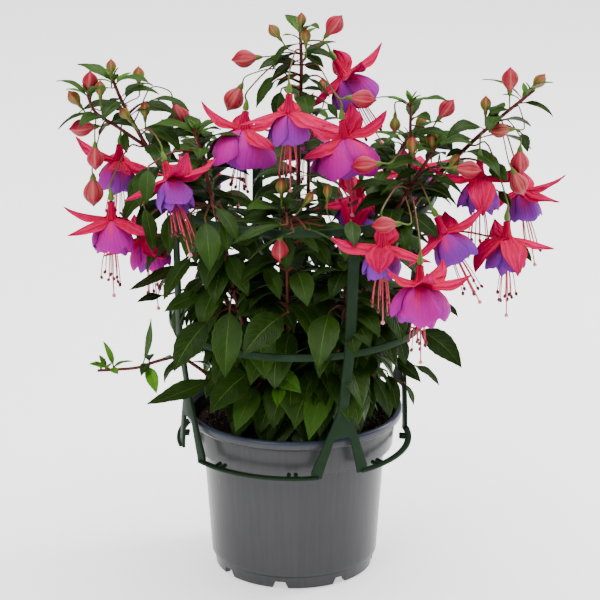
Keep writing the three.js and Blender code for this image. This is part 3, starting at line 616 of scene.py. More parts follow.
def rack_plastic():
    """Dark green moulded plastic with a fine grain and paler rubbed spots."""
    finish = Finish("rack_plastic", IOR=1.4, Specular_IOR_Level=0.035)
    rub = finish.noise(9, 3).between(0.52, 0.8)
    colour = finish.layered("1f2f20", (rub * 0.4, "2e3e2f"))
    return finish.finished(colour, rub * 0.14 + 0.44, finish.noise(0.8, 3), 0.06)


def peat():
    """Moist peat: near black, with brown fibres and a few pale grains."""
    finish = Finish("peat", Specular_IOR_Level=0.2)
    lumps = finish.noise(2.5, 4)
    fibres = finish.noise(1.1, 3, (1, 0.25, 1))
    pale = finish.noise(1.6, 0).between(0.74, 0.78)
    colour = finish.layered("0f0b08", (lumps.between(0.35, 0.7), "33241a"),
                            (fibres.between(0.58, 0.72) * 0.7, "5b4330"), (pale * 0.6, "9a8c78"))
    return finish.finished(colour, lumps * 0.2 + 0.78, lumps * 0.6 + fibres * 0.4, 1.6)


def leaf_skin():
    """Glossy leaf: dark green, brighter when young and paler beneath, with a pale midrib and side veins."""
    finish = Finish("leaf_skin", IOR=1.42, Specular_IOR_Level=0.11)
    along, across, tone, young, under = finish.marks("along", "across", "tone", "young", "under")
    width = across.size()
    midrib = width.between(0.055, 0.015)
    arch = (along * 9.5 - width * 1.5 - width * width * 0.9 + tone * 3).rest()
    side_vein = arch.lines(0.1, 0.02) * width.between(0.97, 0.6) * along.between(0.16, 0.24)
    cloud = finish.noise(7, 3)
    back = finish.layered("324626", (young.between(0.6, 1.05), "46642c"))
    colour = finish.layered("192a0a", (tone, "273f0f"), (young.between(0.6, 1.0), "33501a"),
                            (young.between(1.0, 1.5), "5c9624"), (cloud.between(0.4, 0.75) * 0.3, "345018"),
                            (width.between(0.86, 1.0) * 0.25, "3a5c1e"), (under * 0.85, back),
                            (side_vein * 0.12, "4a7228"), (midrib * 0.5, "5d7c36"),
                            (along.between(0.15, 0.09) * 0.8, "7c4a3a"))
    pillow = (arch * TAU).sine().size() * width.between(0.05, 0.4)
    height = pillow * 0.22 + side_vein * -0.15 - midrib * 0.6 + finish.noise(0.9) * 0.14
    return finish.finished(colour, under * 0.2 + cloud * 0.1 + 0.27, height, 0.45)


def shoot_skin():
    """Stems, stalks and ovaries: fresh green where the tone is 0 and red-brown where it is 1."""
    finish = Finish("shoot_skin", IOR=1.42, Specular_IOR_Level=0.3)
    [tone] = finish.marks("tone")
    streak = finish.noise(1.6, 3, (1, 1, 0.2))
    colour = finish.layered("4c7222", (tone.between(0.1, 0.8), "501a16"),
                            (streak.between(0.4, 0.75) * 0.4, "744028"))
    return finish.finished(colour, streak * 0.2 + 0.34, streak, 0.15)


def bud_skin():
    """Buds: green and orange while small, salmon pink when ripe, with darker seams and a red point."""
    finish = Finish("bud_skin", IOR=1.42, Specular_IOR_Level=0.16)
    along, rib, ripe = finish.marks("along", "rib", "ripe")
    cloud = finish.noise(3.5, 3)
    seam = rib.between(-0.66, -0.98)
    ridge = rib.between(0.55, 1.0) * along.between(1.0, 0.7)
    pink = finish.layered("aa3648", (along.between(0.15, 0.8), "940f30"))
    colour = finish.layered("666e2a", (along.between(0.35, 1.0), "863420"), (ripe, pink),
                            (cloud.between(0.42, 0.7) * ripe * 0.4, "aa0e28"), (seam * 0.8, "6c0418"),
                            (ridge * 0.45, "cc7a74"), (along.between(0.88, 1.0) * 0.8, "7c1018"))
    return finish.finished(colour, cloud * 0.14 + 0.34, seam * -0.7 + finish.noise(0.8) * 0.3, 0.35)


def sepal_skin():
    """Crimson sepals and tube: waxy, with fine lengthwise veins and a paler point, painted shade along the
    keel and in lengthwise creases, and random pinker patches that also serve as painted highlights.
    """
    finish = Finish("sepal_skin", IOR=1.42, Specular_IOR_Level=0.04)
    along, across, under = finish.marks("along", "across", "under")
    vein = (across * 7.5 + finish.noise(9, 1) * 0.9).lines(0.2, 0.03)
    # Painted shade: the keel line and the wandering lengthwise creases below are darkened as the folds'
    # shade; the veins are the sepal's own colour.
    keel_shade = across.size().between(0.1, 0.02)
    crease = (across * 1.9 + along * 0.6 + finish.noise(12) * 1.6).lines(0.42, 0.05)
    # Random pinker patches: partly the sepal's own tone and partly painted highlight.
    cloud = finish.noise(6, 3)
    colour = finish.layered("c0023c", (along.between(0.05, 0.85), "ca0450"),
                            (cloud.between(0.42, 0.75) * 0.55, "da106c"), (vein * 0.3 + keel_shade * 0.3, "7c0120"),
                            (crease * 0.3, "8e001e"), (under * 0.35, "b80c60"),
                            (along.between(0.86, 1.0) * 0.4, "e0406c"))
    height = vein * -0.25 - keel_shade * 0.4 - crease * 1.6 + finish.noise(0.7) * 0.15
    return finish.finished(colour, cloud * 0.16 + 0.36, height, 0.5)


def petal_skin():
    """Corolla petals: magenta where the tone is 0, violet at half and plum at 1, with rosy veins and painted
    plum shade along the side edges where the petals overlap.
    """
    finish = Finish("petal_skin", IOR=1.4, Specular_IOR_Level=0.08)
    along, across, tone = finish.marks("along", "across", "tone")
    violet = finish.layered("9a2488", (along.between(0.1, 0.75), "6e309a"))
    plum = finish.layered("520a50", (along, "320a48"))
    cloud = finish.noise(7, 3)
    vein = (across * (5.5 - along) + finish.noise(8) * 0.8).lines(0.22, 0.02)
    flame = (across.size() * 2.2 + along * 1.5 + finish.noise(10) * 0.5).between(1.35, 0.55)
    # Painted shade: the petals' side edges, below their tops, are darkened to plum where they lap over each
    # other.
    overlap_shade = across.size().between(0.7, 1.0) * along.between(0.1, 0.5)
    colour = finish.layered("b00a78", (along, "a00a86"), (tone.between(0.0, 0.5), violet),
                            (tone.between(0.5, 1.0), plum), (cloud.between(0.42, 0.8) * 0.4, "9c1e98"),
                            (vein * 0.14 * along.between(1.0, 0.3), "c41068"), (flame * 0.75, "d81450"),
                            (overlap_shade * 0.45, "5a0860"))
    return finish.finished(colour, cloud * 0.2 + 0.42, vein * -0.45 + finish.noise(1.0, 3) * 0.35, 0.4)


def thread_skin():
    """Filaments, anthers and styles: rosy where the tone is 0, pale at half, and maroon at 1."""
    finish = Finish("thread_skin", IOR=1.4)
    shade = finish.node("ShaderNodeValToRGB", values={0: finish.marks("tone")[0]})
    stops = shade.socket.node.color_ramp.elements
    stops[0].color, stops[1].color = srgb("b00838"), srgb("380814")
    for place, code in ((0.3, "c42450"), (0.55, "dc8c88"), (0.75, "6c0c24")):
        stops.new(place).color = srgb(code)
    cloud = finish.noise(1.2)
    colour = finish.layered(shade, (cloud.between(0.4, 0.8) * 0.25, "cc3058"))
    return finish.finished(colour, cloud * 0.2 + 0.35, cloud, 0.08)


# ---- pot and soil ----
def turned(name, rows, angles, finish, crease):
    """A closed turned form: each row is a radius and a height, or one of each for every angle.
    The first and last rows are points on the axis."""
    points = [[0, 0, rows[0][1]]]
    for radius, height in rows[1:-1]:
        ring = np.broadcast_arrays(radius * np.cos(angles), radius * np.sin(angles), height)
        points.extend(np.stack(ring, 1))
    points.append([0, 0, rows[-1][1]])
    forms = Forms()
    forms.add(points, tube_faces(len(rows) - 2, len(angles)))
    mesh = forms.mesh(name)
    work = bmesh.new()
    work.from_mesh(mesh)
    bmesh.ops.recalc_face_normals(work, faces=work.faces)
    work.to_mesh(mesh)
    work.free()
    return laid_out(name, mesh, finish, crease)


def notch_angles():
    """Angles round the pot with extra ones at the sides of each notch, and how deep the notch is at each."""
    half_wide = math.degrees(NOTCH.wide / 2 / NOTCH.radius)
    half_top = math.degrees(NOTCH.top / 2 / NOTCH.radius)
    pitch = 360 / NOTCH.count
    near = [1.8, half_top - 0.25, half_top, half_top + 0.25, (half_top + half_wide) / 2,
            half_wide - 0.25, half_wide, half_wide + 0.3, *np.linspace(half_wide + 1.6, pitch / 2, 7)]
    offsets = sorted([-a for a in near[:-1]] + [0] + near)
    angles, depth = [], []
    for i in range(NOTCH.count):
        for offset in offsets:
            angles.append(math.radians(-90 + NOTCH.turn + pitch * i + offset))
            depth.append(np.interp(abs(offset), [half_top, half_wide], [1, 0]))
    return np.array(angles), np.array(depth)


def make_pot(finish):
    """The pot: up its inner wall, over the lip, down the outside and round its notched foot."""
    angles, notch = notch_angles()
    tall = NOTCH.tall
    rows = [(0, 6.5), *POT_INNER[::-1], *POT_OUTER[::-1], (55.7, tall + 0.4),
            (55.0 + 0.65 * notch, 0.5 + (tall - 0.4) * notch), (54.4 + 1.1 * notch, tall * notch),
            (51.4, tall * notch), (51, 0.4 + (tall - 0.4) * notch), (50.9, 2.5 + (tall - 2.5) * notch),
            (47, 2.5 + (tall - 2.5) * notch), (46.8, 2.5), (0, 2.5)]
    return turned("pot_shell", rows, angles, finish, 38)


def soil_height(x, y):
    """Small heaves of the soil's surface over its mean level."""
    heave = np.sin(x * 0.11 + 1.3) * np.cos(y * 0.13 - 0.4) * 0.9
    lumps = np.sin(x * 0.47 + y * 0.31) * np.sin(y * 0.53 - x * 0.22 + 2) * 0.5
    fine = np.sin(x * 1.31 - y * 0.9) * np.sin(y * 1.17 + x * 0.7) * 0.28
    return heave + lumps + fine


def make_soil(finish, crumbs):
    """The soil: a bed that fills the pot, and crumbs strewn over its top."""
    angles = np.linspace(0, TAU, SOIL.sides, endpoint=False)
    level = SOIL.top + 0.8
    rows = [(0, 6.9), *SOIL_SIDE]
    for radius in np.linspace(SOIL.reach, SOIL.hole, SOIL.rings):
        edge = (radius / SOIL.reach) ** 6
        heave = soil_height(radius * np.cos(angles), radius * np.sin(angles))
        rows.append((radius, level - 1.6 * edge + heave * (1 - 0.6 * edge)))
    rows.append((0, level + float(soil_height(0.0, 0.0))))
    bed = turned("soil_bed", rows, angles, finish, 80)
    reach, count = SOIL.crumbs_reach, SOIL.crumbs_grid
    spread = np.linspace(-reach, reach, count)
    x, y = np.meshgrid(spread, spread, indexing="ij")
    inside = (np.hypot(x, y) < reach)[:-1, :-1]
    top = Forms()
    top.add(np.stack([x, y, SOIL.top + 0.5 + soil_height(x, y)], -1),
            quads(np.arange(count * count).reshape(count, count))[inside].tolist())
    lumps = crumbs.grow("soil_crumbs", top.mesh("soil_top"), finish, 80,
                        Crumbs_per_square_metre=150000.0, Least=0.5 * MM, Most=1.9 * MM, Seed=11)
    return joined("soil", bed, lumps)


# ---- support rack ----
def on_rack(degrees, z, out):
    """A point of the rack's shell: degrees round from the front, height, and depth out of the shell."""
    heights = [RACK.hoop_z - 5, RACK.apex_z, RACK.mid_z, RACK.top_z + 5]
    radii = [RACK.hoop_r, RACK.hoop_r + 2.5, RACK.mid_r, RACK.top_r]
    radius = np.interp(z, heights, radii) + out
    shift = RACK.lean * (z - RACK.hoop_z) / (RACK.top_z - RACK.hoop_z)
    turn = math.radians(degrees)
    return np.array([radius * math.sin(turn) + shift, -radius * math.cos(turn), z])


def rounded(corners, radii, steps=4):
    """An outline with its corners rounded, each by its own radius."""
    corners = np.array(corners, float)
    outline = []
    for corner, before, after, radius in zip(corners, np.roll(corners, 1, 0), np.roll(corners, -1, 0), radii):
        if radius == 0:
            outline.append(corner)
            continue
        before, after = before - corner, after - corner
        cut = min(radius, 0.45 * np.linalg.norm(before), 0.45 * np.linalg.norm(after))
        start, end = corner + unit(before) * cut, corner + unit(after) * cut
        for k in range(steps + 1):
            t = k / steps
            outline.append((1 - t) ** 2 * start + 2 * t * (1 - t) * corner + t * t * end)
    return outline


def divided(outline, longest):
    """An outline with points added so that no side is longer than told."""
    points = []
    for point, following in zip(outline, outline[1:] + outline[:1]):
        parts = max(1, math.ceil(np.linalg.norm(following - point) / longest))
        points.extend(point + (following - point) * k / parts for k in range(parts))
    return points


def leg_outline():
    """The flat outline of an upright and its forked foot: X runs round the rack and Y is height."""
    half = RACK.leg_wide / 2
    foot = math.radians(RACK.foot_spread) * RACK.hoop_r
    base = RACK.hoop_z - RACK.hoop_tall / 2
    right = [(half, RACK.top_z + 1), (half, RACK.mid_z), (half, RACK.apex_z), (foot + half, base + 4),
             (foot + half - 1, base), (foot - half - 1, base), (foot - half - 1.5, base + 3),
             (RACK.web_half, RACK.web_z)]
    radii = [0.6, 0, 6, 3, 3, 0, 1, 1.5]
    left = [(-x, y) for x, y in right[::-1]]
    return divided(rounded(right + left, radii + radii[::-1]), 5.0)


def rack_leg(degrees):
    """An upright: its outline made thick, bevelled, and then bent round the rack."""
    outline = leg_outline()
    inner = 0.5
    outer = inner + RACK.thick + 0.2
    work = bmesh.new()
    front, back = ([work.verts.new((x, y, z)) for x, y in outline] for z in (outer, inner))
    work.faces.new(front)
    work.faces.new(back[::-1])
    for i in range(len(outline)):
        work.faces.new((back[i - 1], back[i], front[i], front[i - 1]))
    bmesh.ops.recalc_face_normals(work, faces=work.faces)
    rims = [e for e in work.edges if any(len(f.verts) > 4 for f in e.link_faces)]
    bmesh.ops.bevel(work, geom=rims, offset=RACK.edge, segments=2, affect="EDGES", profile=0.6)
    bmesh.ops.triangulate(work, faces=[f for f in work.faces if len(f.verts) > 4])
    for vert in work.verts:
        x, y, z = vert.co
        vert.co = on_rack(degrees + math.degrees(x / RACK.hoop_r), y, z)
    bmesh.ops.recalc_face_normals(work, faces=work.faces)
    work.verts.index_update()
    points = [tuple(v.co) for v in work.verts]
    faces = [[v.index for v in f.verts] for f in work.faces]
    work.free()
    return points, faces


def knob(degrees):
    """A peg on the inner side of a hoop."""
    root = on_rack(degrees, RACK.hoop_z + 0.4, 1.5)
    tip = on_rack(degrees, RACK.hoop_z + 0.9, 0.6 - RACK.knob_reach)
    length = float(np.linalg.norm(tip - root))
    profile = [(0, 0), (0, 1.2), (length - 1.0, 1.5), (length - 0.3, 1.2), (length, 0)]
    return round_form(root, tip - root, profile, 12)[:2]


def make_rack(finish, bands):
    """The support rack: four uprights, the hoops between their feet with their knobs, and two rings."""
    legs, spread = RACK.legs, RACK.foot_spread - 1.2
    forms, hoops, rings = Forms(), Strands(), Strands()
    for degrees in legs:
        forms.add(*rack_leg(degrees))
    for leg, following in zip(legs, [*legs[1:], legs[0] + 360]):
        turns = np.linspace(leg + spread, following - spread, 40)
        hoops.chain([on_rack(a, RACK.hoop_z, RACK.hoop_deep / 2) for a in turns], 1, 0)
        for offset in RACK.knobs:
            for peg in (-1.8, 1.8):
                forms.add(*knob((leg + following) / 2 + offset + peg))
    for z in (RACK.mid_z, RACK.top_z):
        turns = np.linspace(0, 360, 144, endpoint=False)
        rings.chain([on_rack(a, z, RACK.thick / 2) for a in turns], 1, 0, closed=True)
    sweeps = [("hoop", hoops, RACK.hoop_deep, RACK.hoop_tall),
              ("ring", rings, RACK.thick, RACK.ring_tall)]
    bars = [bands.grow(name + "_bars", path.mesh(name + "_path"), finish, 40, Deep=deep * MM, Tall=tall * MM,
                       Corner=RACK.edge * MM) for name, path, deep, tall in sweeps]
    return joined("rack", forms.piece("rack_legs", finish, 40), *bars)


# ---- stems ----
def curve_points(points, divisions):
    """Even samples of the smooth curve through the given points."""
    last = len(points) - 1
    padded = [2 * points[0] - points[1], *points, 2 * points[-1] - points[-2]]
    out = []
    for i in range(divisions + 1):
        p = last * i / divisions
        k = min(int(p), last - 1)
        t = p - k
        p0, p1, p2, p3 = padded[k:k + 4]
        t0, t1 = (p2 - p0) / 2, (p3 - p1) / 2
        out.append(p1 + t0 * t + (3 * p2 - 3 * p1 - 2 * t0 - t1) * t * t
                   + (2 * p1 - 2 * p2 + t0 + t1) * t ** 3)
    return np.array(out)


def rail(route, is_main):
    """The middle of a stem, as the solid has it: a main route goes straight down into the soil."""
    points = list(np.array(table(route)))
    if is_main:
        crown, following = points[:2]
        bend = crown + (following - crown) * 0.06
        bend[2] = crown[2] + 0.25 * (following[2] - crown[2])
        points = [np.array([crown[0], crown[1], STEM_FOOT]), crown, bend] + points[1:]
    return curve_points(points, (len(points) - 1) * 2)


def along_rail(points, share):
    at = share * (len(points) - 1)
    k = min(int(at), len(points) - 2)
    return points[k] + (points[k + 1] - points[k]) * (at - k)


def axil(rails, place, below):
    """Where a stalk leaves its stem: a little below the point that is nearest to the place given."""
    spots = [(points, i) for points in rails for i in range(24, 57)]
    points, i = min(spots, key=lambda spot: np.linalg.norm(along_rail(spot[0], spot[1] / 60) - place))
    return along_rail(points, (i - below) / 60)


def stalk_to(strands, rails, head, aim, below, radius=0.62):
    """The thin stalk of a bud or an ovary, arching over from its stem."""
    lead = head - 6 * aim
    start = axil(rails, lead + np.array([0, 0, 6.0]), below)
    middle = start + (lead - start) * 0.5
    if aim[2] < 0.3:
        middle[2] = max(start[2], lead[2]) + 0.08 * np.linalg.norm(lead - start)
    points = [start, start + (middle - start) * 0.35, middle, lead, head + aim * 0.4]
    strands.chain(points, radius * np.array([1.15, 1, 0.9, 0.95, 1.25]), [0.9, 0.85, 0.75, 0.45, 0.1])


def ovary_form(forms, head, aim, long, radius, tone=0.1):
    """The green swelling between a stalk and its bud or bloom."""
    profile = [(-0.6, 0), (-0.2, 0.38 * radius), (0.24 * long, 0.66 * radius), (0.5 * long, 0.92 * radius),
               (0.74 * long, radius), (0.96 * long, 0.84 * radius), (long, 0)]
    points, faces, along, _ = round_form(head, aim, profile, 12, 4, 0.05)
    forms.add(points, faces, tone=tone + 0.12 * (1 - along))


BUD_OUTLINE = table("0 0; .02 .11; .08 .15; .16 .215; .26 .295; .37 .352; .48 .376; .57 .37; .66 .336; "
                    ".75 .27; .83 .182; .89 .104; .945 .046; 1 0")


def bud_form(forms, head, aim, length, seed):
    """A pointed bud with four seams."""
    plump = 0.9 + 0.1 * draw(seed, 3)
    profile = [(3.4 + (length + 1.6) * f, r * length * plump) for f, r in BUD_OUTLINE]
    points, faces, along, rib = round_form(head, aim, profile, 20, 4, 0.1, draw(seed, 8) * TAU / 4)
    ripe = np.clip((length - 10.5) / 3.5, 0, 1)
    forms.add(points, faces, along=along, rib=rib, ripe=ripe * (0.85 + 0.15 * draw(seed, 5)))


# ---- leaves ----
Leaf = namedtuple("Leaf", "place azimuth pitches long wide roll young seed")
# The changes of swing, tilt and scale that the solid tried in turn where a leaf had no room.
LEAF_TRIES = table("0 0 1; 24 10 1; -24 10 1; 0 34 .9; 48 -12 .85; -48 -12 .85; 70 20 .7; "
                   "-70 20 .7; 0 -20 .6")
LEAF_ROWS = numbers("0 .05 .1 .13 .165 .21 .26 .32 .38 .44 .5 .56 .62 .68 .74 .8 .855 .905 .95 .98 1")
LEAF_COLS = numbers("-1 -.7 -.36 0 .36 .7 1")
LEAF_OUTLINE = (numbers("0 .05 .12 .22 .34 .45 .57 .69 .79 .87 .94 .98 1"),
                numbers("0 .2 .5 .8 .96 1 .93 .75 .54 .34 .15 .06 .02"))
LEAF_STALK, LEAF_THICK, PETAL_THICK = 0.11, 0.55, 0.5
# What is added to the seeds of the leaves between the pairs, of those placed one by one and of the tufts.
FILL_SEED, SPRAY_SEED, TUFT_SEED = 5000, 30000, 700


def spine(root, azimuth, pitches, length, steps=20):
    """Points down a blade's middle, for pitches that change evenly from its root to its tip."""
    turn = math.radians(azimuth)
    heading = np.array([math.cos(turn), math.sin(turn), 0])
    side = np.array([-heading[1], heading[0], 0])
    points, normals = [np.asarray(root, float)], []
    for i in range(steps):
        pitch = math.radians(pitches[0] + (pitches[1] - pitches[0]) * (i + 0.5) / steps)
        along = heading * math.cos(pitch) + np.array([0, 0, math.sin(pitch)])
        normals.append(np.cross(along, side))
        points.append(points[-1] + along * length / steps)
    normals.append(normals[-1])
    return np.array(points), np.array(normals), side


def on_spine(values, shares):
    """Values kept along a spine, read at any shares of its length."""
    at = shares * (len(values) - 1)
    k = np.minimum(at.astype(int), len(values) - 2)
    t = (at - k)[:, None]
    return values[k] * (1 - t) + values[k + 1] * t


def leaf_form(forms, leaf):
    """One leaf: a stalk, then an oval blade folded a little along its midrib, with a toothed, waved edge."""
    points, normals, side = spine(*leaf[:4])
    roll = math.radians(leaf.roll)
    up = normals * math.cos(roll) + side * math.sin(roll)
    out = side * math.cos(roll) - normals * math.sin(roll)
    shape = np.interp(np.clip((LEAF_ROWS - LEAF_STALK) / (1 - LEAF_STALK), 0, 1), *LEAF_OUTLINE)
    half = leaf.wide / 2 * (1 - 0.24 * min(leaf.young, 0.8))
    tooth = np.where(np.arange(len(LEAF_ROWS)) % 2, 1.035, 0.975)
    reach = np.maximum(half * shape * tooth, 0.5 * (LEAF_ROWS < 0.3) + 0.05)[:, None]
    wave = np.sin(LEAF_ROWS * (9 + 5 * draw(leaf.seed, 11)) + TAU * draw(leaf.seed, 12))[:, None]
    a = LEAF_COLS[None, :]
    fold = 0.12 + 0.16 * draw(leaf.seed, 13)
    bend = fold * np.abs(a) ** 1.3 + 0.09 * wave * a * np.abs(a) - 0.05 * (np.abs(a) > 0.9)
    lift = half * shape[:, None] * bend
    grid = (on_spine(points, LEAF_ROWS)[:, None] + on_spine(out, LEAF_ROWS)[:, None] * (reach * a)[..., None]
            + on_spine(up, LEAF_ROWS)[:, None] * lift[..., None])
    marks = {"tone": draw(leaf.seed, 14), "young": leaf.young}
    forms.add_blade(grid, LEAF_THICK, up[10], LEAF_ROWS, LEAF_COLS, **marks)


def leaf_slots(stem, rails, number, shift=0.0):
    """Every leaf's place on a stem, in opposite pairs, each a quarter turn from the last. A shift moves the
    pairs up by that share of their spacing."""
    plan = stem.leaves
    for r, points in enumerate(rails):
        main = r == 0
        count = plan.pairs if main else 2
        crown = 2.8 / (len(points) - 1) if main else 0
        for j in range(count):
            at = j + shift
            u = plan.first + (plan.last - plan.first) * at / (count - 1) if main else 0.5 + 0.42 * at
            if u > 0.97:
                continue
            young = max(0, (u - 0.5) / 0.5) if main else 0.8
            for s in range(2):
                seed = number * 100 + r * 50 + j * 2 + s
                size = (1 - 0.45 * young) * (0.88 + 0.24 * draw(seed, 1))
                azimuth = plan.turn + 90 * at + 180 * s + 30 * (draw(seed, 2) - 0.5)
                pitches = (28 + 30 * young - 24 * draw(seed, 3), -80 + 84 * young - 16 * draw(seed, 4))
                yield Leaf(along_rail(points, crown + (1 - crown) * u), azimuth, pitches, plan.long * size,
                           plan.wide * size * (1 - 0.15 * young), 36 * (draw(seed, 5) - 0.5),
                           young * plan.fresh, seed)


def changed(leaf, swing, tilt, scale):
    return leaf._replace(azimuth=leaf.azimuth + swing, pitches=[p + tilt for p in leaf.pitches],
                         long=leaf.long * scale, wide=leaf.wide * scale)


def as_the_solid_has_it(leaf, tips):
    """The leaf in the place that its solid took, or nothing where the solid has none."""
    for change in LEAF_TRIES:
        placed = changed(leaf, *change)
        if tips.find(spine(*placed[:4])[0][-1] * MM)[2] < 0.2 * MM:
            return placed
    return None


def vertex_tree(node):
    vertices = frame["nodes"][node].data.vertices
    tree = KDTree(len(vertices))
    for vertex in vertices:
        tree.insert(vertex.co, vertex.index)
    tree.balance()
    return tree


def in_an_opening(point):
    boxes = [opening["box_m"] for opening in frame["record"].get("physics", {}).get("openings", [])]
    return any(all(low[k] - MM < point[k] * MM < high[k] + MM for k in range(3)) for low, high in boxes)


# Each round of filler leaves: its shift, its highest place, how it swings, its turn and its size.
FILLS = table(".5 330 50 0 .94; .25 290 60 45 .9; .75 280 60 45 .9; .9 250 70 20 .88")
BACK_FILLS = table(".12 310 70 20 .86; .38 310 70 65 .82; .62 300 70 110 .86")


def filler_leaves(stem, rails, number):
    """The leaves between the pairs that the solid has, most of them low in the plant where it is densest."""
    if stem.name == "low_left":
        return
    for k, (shift, top, swing, turn, size) in enumerate(FILLS + BACK_FILLS * stem.name.startswith("back")):
        for leaf in leaf_slots(stem, rails, number, shift):
            if leaf.place[2] > top:
                continue
            young = max(0.25 * draw(leaf.seed, 24 + k), 0.5 * leaf.young * (k == 0))
            leaf = changed(leaf, turn + swing * (draw(leaf.seed, 21 + k) - 0.5), 8, size)
            if not any(in_an_opening(p) for p in spine(*leaf[:4])[0]):
                yield leaf._replace(young=young, seed=leaf.seed + FILL_SEED * (k + 1))


def spray_leaf(base, point, wide, arch, roll, young, seed):
    """A leaf between two places, bowed by the arch so that it leaves its twig flatter than it ends."""
    chord = point - base
    pitch = math.degrees(math.atan2(chord[2], np.hypot(chord[0], chord[1])))
    bow = math.radians(arch)
    return Leaf(base, math.degrees(math.atan2(chord[1], chord[0])), (pitch + arch, pitch - arch),
                np.linalg.norm(chord) * bow / math.sin(bow), wide * 0.9, roll, 0.75 * young, seed)


NEAR_STEM = 13.0


def twig_to(strands, rails, base):
    """The side twig that carries a leaf out from its stem. A leaf that is close to the stem sits on it.
    Gives the place where the leaf starts."""
    starts = [along_rail(points, i / 60) for points in rails for i in range(4, 61)]
    start = min(starts, key=lambda place: np.linalg.norm(place - base) + 0.9 * max(0, place[2] - base[2] + 3))
    reach = np.linalg.norm(base - start)
    if reach < NEAR_STEM:
        return start + (base - start) * 0.1
    middle = (start + base) / 2 + np.array([0, 0, 0.1 * reach])
    strands.chain([start, middle, base], [1.0, 0.8, 0.62], [0.9, 0.8, 0.6])
    return base


def sprays(stem, rails, number, shoots):
    """The leaves placed one by one, each on its twig."""
    rows = table(SPRAYS[stem.name]) if stem.name in SPRAYS else []
    for i, row in enumerate(rows):
        base, point = np.array(row[:3]), np.array(row[3:6])
        start = twig_to(shoots, rails, base)
        yield spray_leaf(start, point, *(row + [0])[6:10], number * 100 + i + SPRAY_SEED)


def tip_tuft(points, seed):
    """The cluster of small new leaves at the end of a shoot."""
    for k in range(6):
        pair = k // 2
        small = 9 + 3.4 * pair * (0.8 + 0.4 * draw(seed, k))
        azimuth = 180 * (k % 2) + 90 * pair + 50 * draw(seed, k + 9)
        yield Leaf(along_rail(points, 0.985 - 0.02 * pair), azimuth, (76 - 14 * pair, 46 - 26 * pair),
                   small, small * 0.42, 0, 1.2, seed + k)


def make_stem(stem, number, finishes, strand):
    """A stem's leaves, its shoots with every stalk and ovary, and its buds."""
    node = "stem_" + stem.name
    rails = [rail(route, r == 0) for r, route in enumerate(stem.routes)]
    tips = vertex_tree(node)
    shoots, swellings, buds = Strands(), Forms("tone"), Forms("along", "rib", "ripe")
    leaves = Forms("along", "across", "under", "tone", "young")
    placed = [as_the_solid_has_it(leaf, tips) for leaf in leaf_slots(stem, rails, number)]
    grown = [leaf for leaf in placed if leaf]
    grown += [*filler_leaves(stem, rails, number), *sprays(stem, rails, number, shoots)]
    for r, points in enumerate(rails):
        grown += tip_tuft(points, number * 10 + r + TUFT_SEED)
        radii = np.linspace(1.35 if r else stem.root, 0.9 if r else 1.05, len(points))
        shoots.chain(points, radii, np.linspace(0.85 if r else 0.45, 0.95, len(points)))
    for leaf in grown:
        leaf_form(leaves, leaf)
    for i, (*middle, length, direction) in enumerate(table(stem.buds) if stem.buds else []):
        aim = unit(DIRECTIONS[direction])
        head = np.array(middle) - aim * (length / 2 + 4)
        stalk_to(shoots, rails, head, aim, 2 * (i % 3), 0.5)
        ovary_form(swellings, head, aim, 5.0, 0.1 * length + 0.35, 0.3)
        bud_form(buds, head, aim, length, number * 40 + i)
    for i, bloom in enumerate(b for b in BLOOMS if b.stem == stem.name):
        aim = bloom_aim(bloom)
        head = bloom.neck - aim * (TUBE.long + 0.35 + OVARY.long)
        stalk_to(shoots, rails, head, aim, i % 2)
        ovary_form(swellings, head, aim, OVARY.long, OVARY.radius)
    name, skin = "shoots_" + stem.name, finishes["shoot"]
    shoot = strand.grow(name, shoots.mesh("shoot_lines"), skin, 60, Sides=8, Steps=4)
    if swellings.count:
        shoot = joined(name, shoot, swellings.piece("ovaries", skin, 60))
        settled(buds.piece("buds_" + stem.name, finishes["bud"], 70), node)
    settled(shoot, node)
    settled(leaves.piece("leaves_" + stem.name, finishes["leaf"], 60), node)


# ---- blooms ----
def bloom_aim(bloom):
    return unit([*bloom.hang, -1])


def hung(points, bloom):
    """Turns points of a bloom from hanging straight down to hanging as told, with its neck in place."""
    turn = Vector((0, 0, -1)).rotation_difference(Vector(bloom_aim(bloom))).to_matrix()
    return np.asarray(points) @ np.array(turn).T + np.array(bloom.neck, float)


SEPAL_ROWS = numbers("0 .05 .11 .18 .25 .33 .41 .49 .57 .65 .73 .8 .86 .915 .96 1")
SEPAL_COLS = numbers("-1 -.72 -.4 -.12 .12 .4 .72 1")
SEPAL_OUTLINE = (numbers("0 .08 .2 .33 .46 .6 .73 .85 .94 1"),
                 numbers(".5 .55 .76 .95 1.02 .94 .72 .42 .17 .02"))


def sepal_grid(azimuth, bend, seed, share=1.0):
    """A long pointed sepal, keeled down its middle and a little twisted towards its tip, and its facing."""
    turn = math.radians(azimuth)
    root = np.array([math.cos(turn), math.sin(turn), 0.4])
    droops = bend == "hang"
    points, normals, side = spine(root, azimuth, SEPAL_BENDS[bend], SEPAL.long * share)
    wide, cup, tip = (1.12, 0.1, 0.4) if droops else (1.0, -0.34 - 0.24 * draw(seed, 4), 1.0)
    half = SEPAL.half * wide * (0.94 + 0.16 * draw(seed, 2)) * np.interp(SEPAL_ROWS, *SEPAL_OUTLINE)[:, None]
    twist = (draw(seed, 3) - 0.5) * 1.1 * SEPAL_ROWS[:, None] ** 2
    normal = on_spine(normals, SEPAL_ROWS)
    up = normal * np.cos(twist) + side * np.sin(twist)
    out = side * np.cos(twist) - normal * np.sin(twist)
    a = SEPAL_COLS[None, :]
    wave = 0.07 * np.sin(SEPAL_ROWS * 11 + TAU * draw(seed, 5))[:, None] * a ** 3
    lift = half * (cup * np.abs(a) ** 1.7 + wave) + SEPAL_ROWS[:, None] ** 5 * 2.2 * tip
    middle = on_spine(points, SEPAL_ROWS)[:, None]
    return middle + out[:, None] * (half * a)[..., None] + up[:, None] * lift[..., None], up[8]


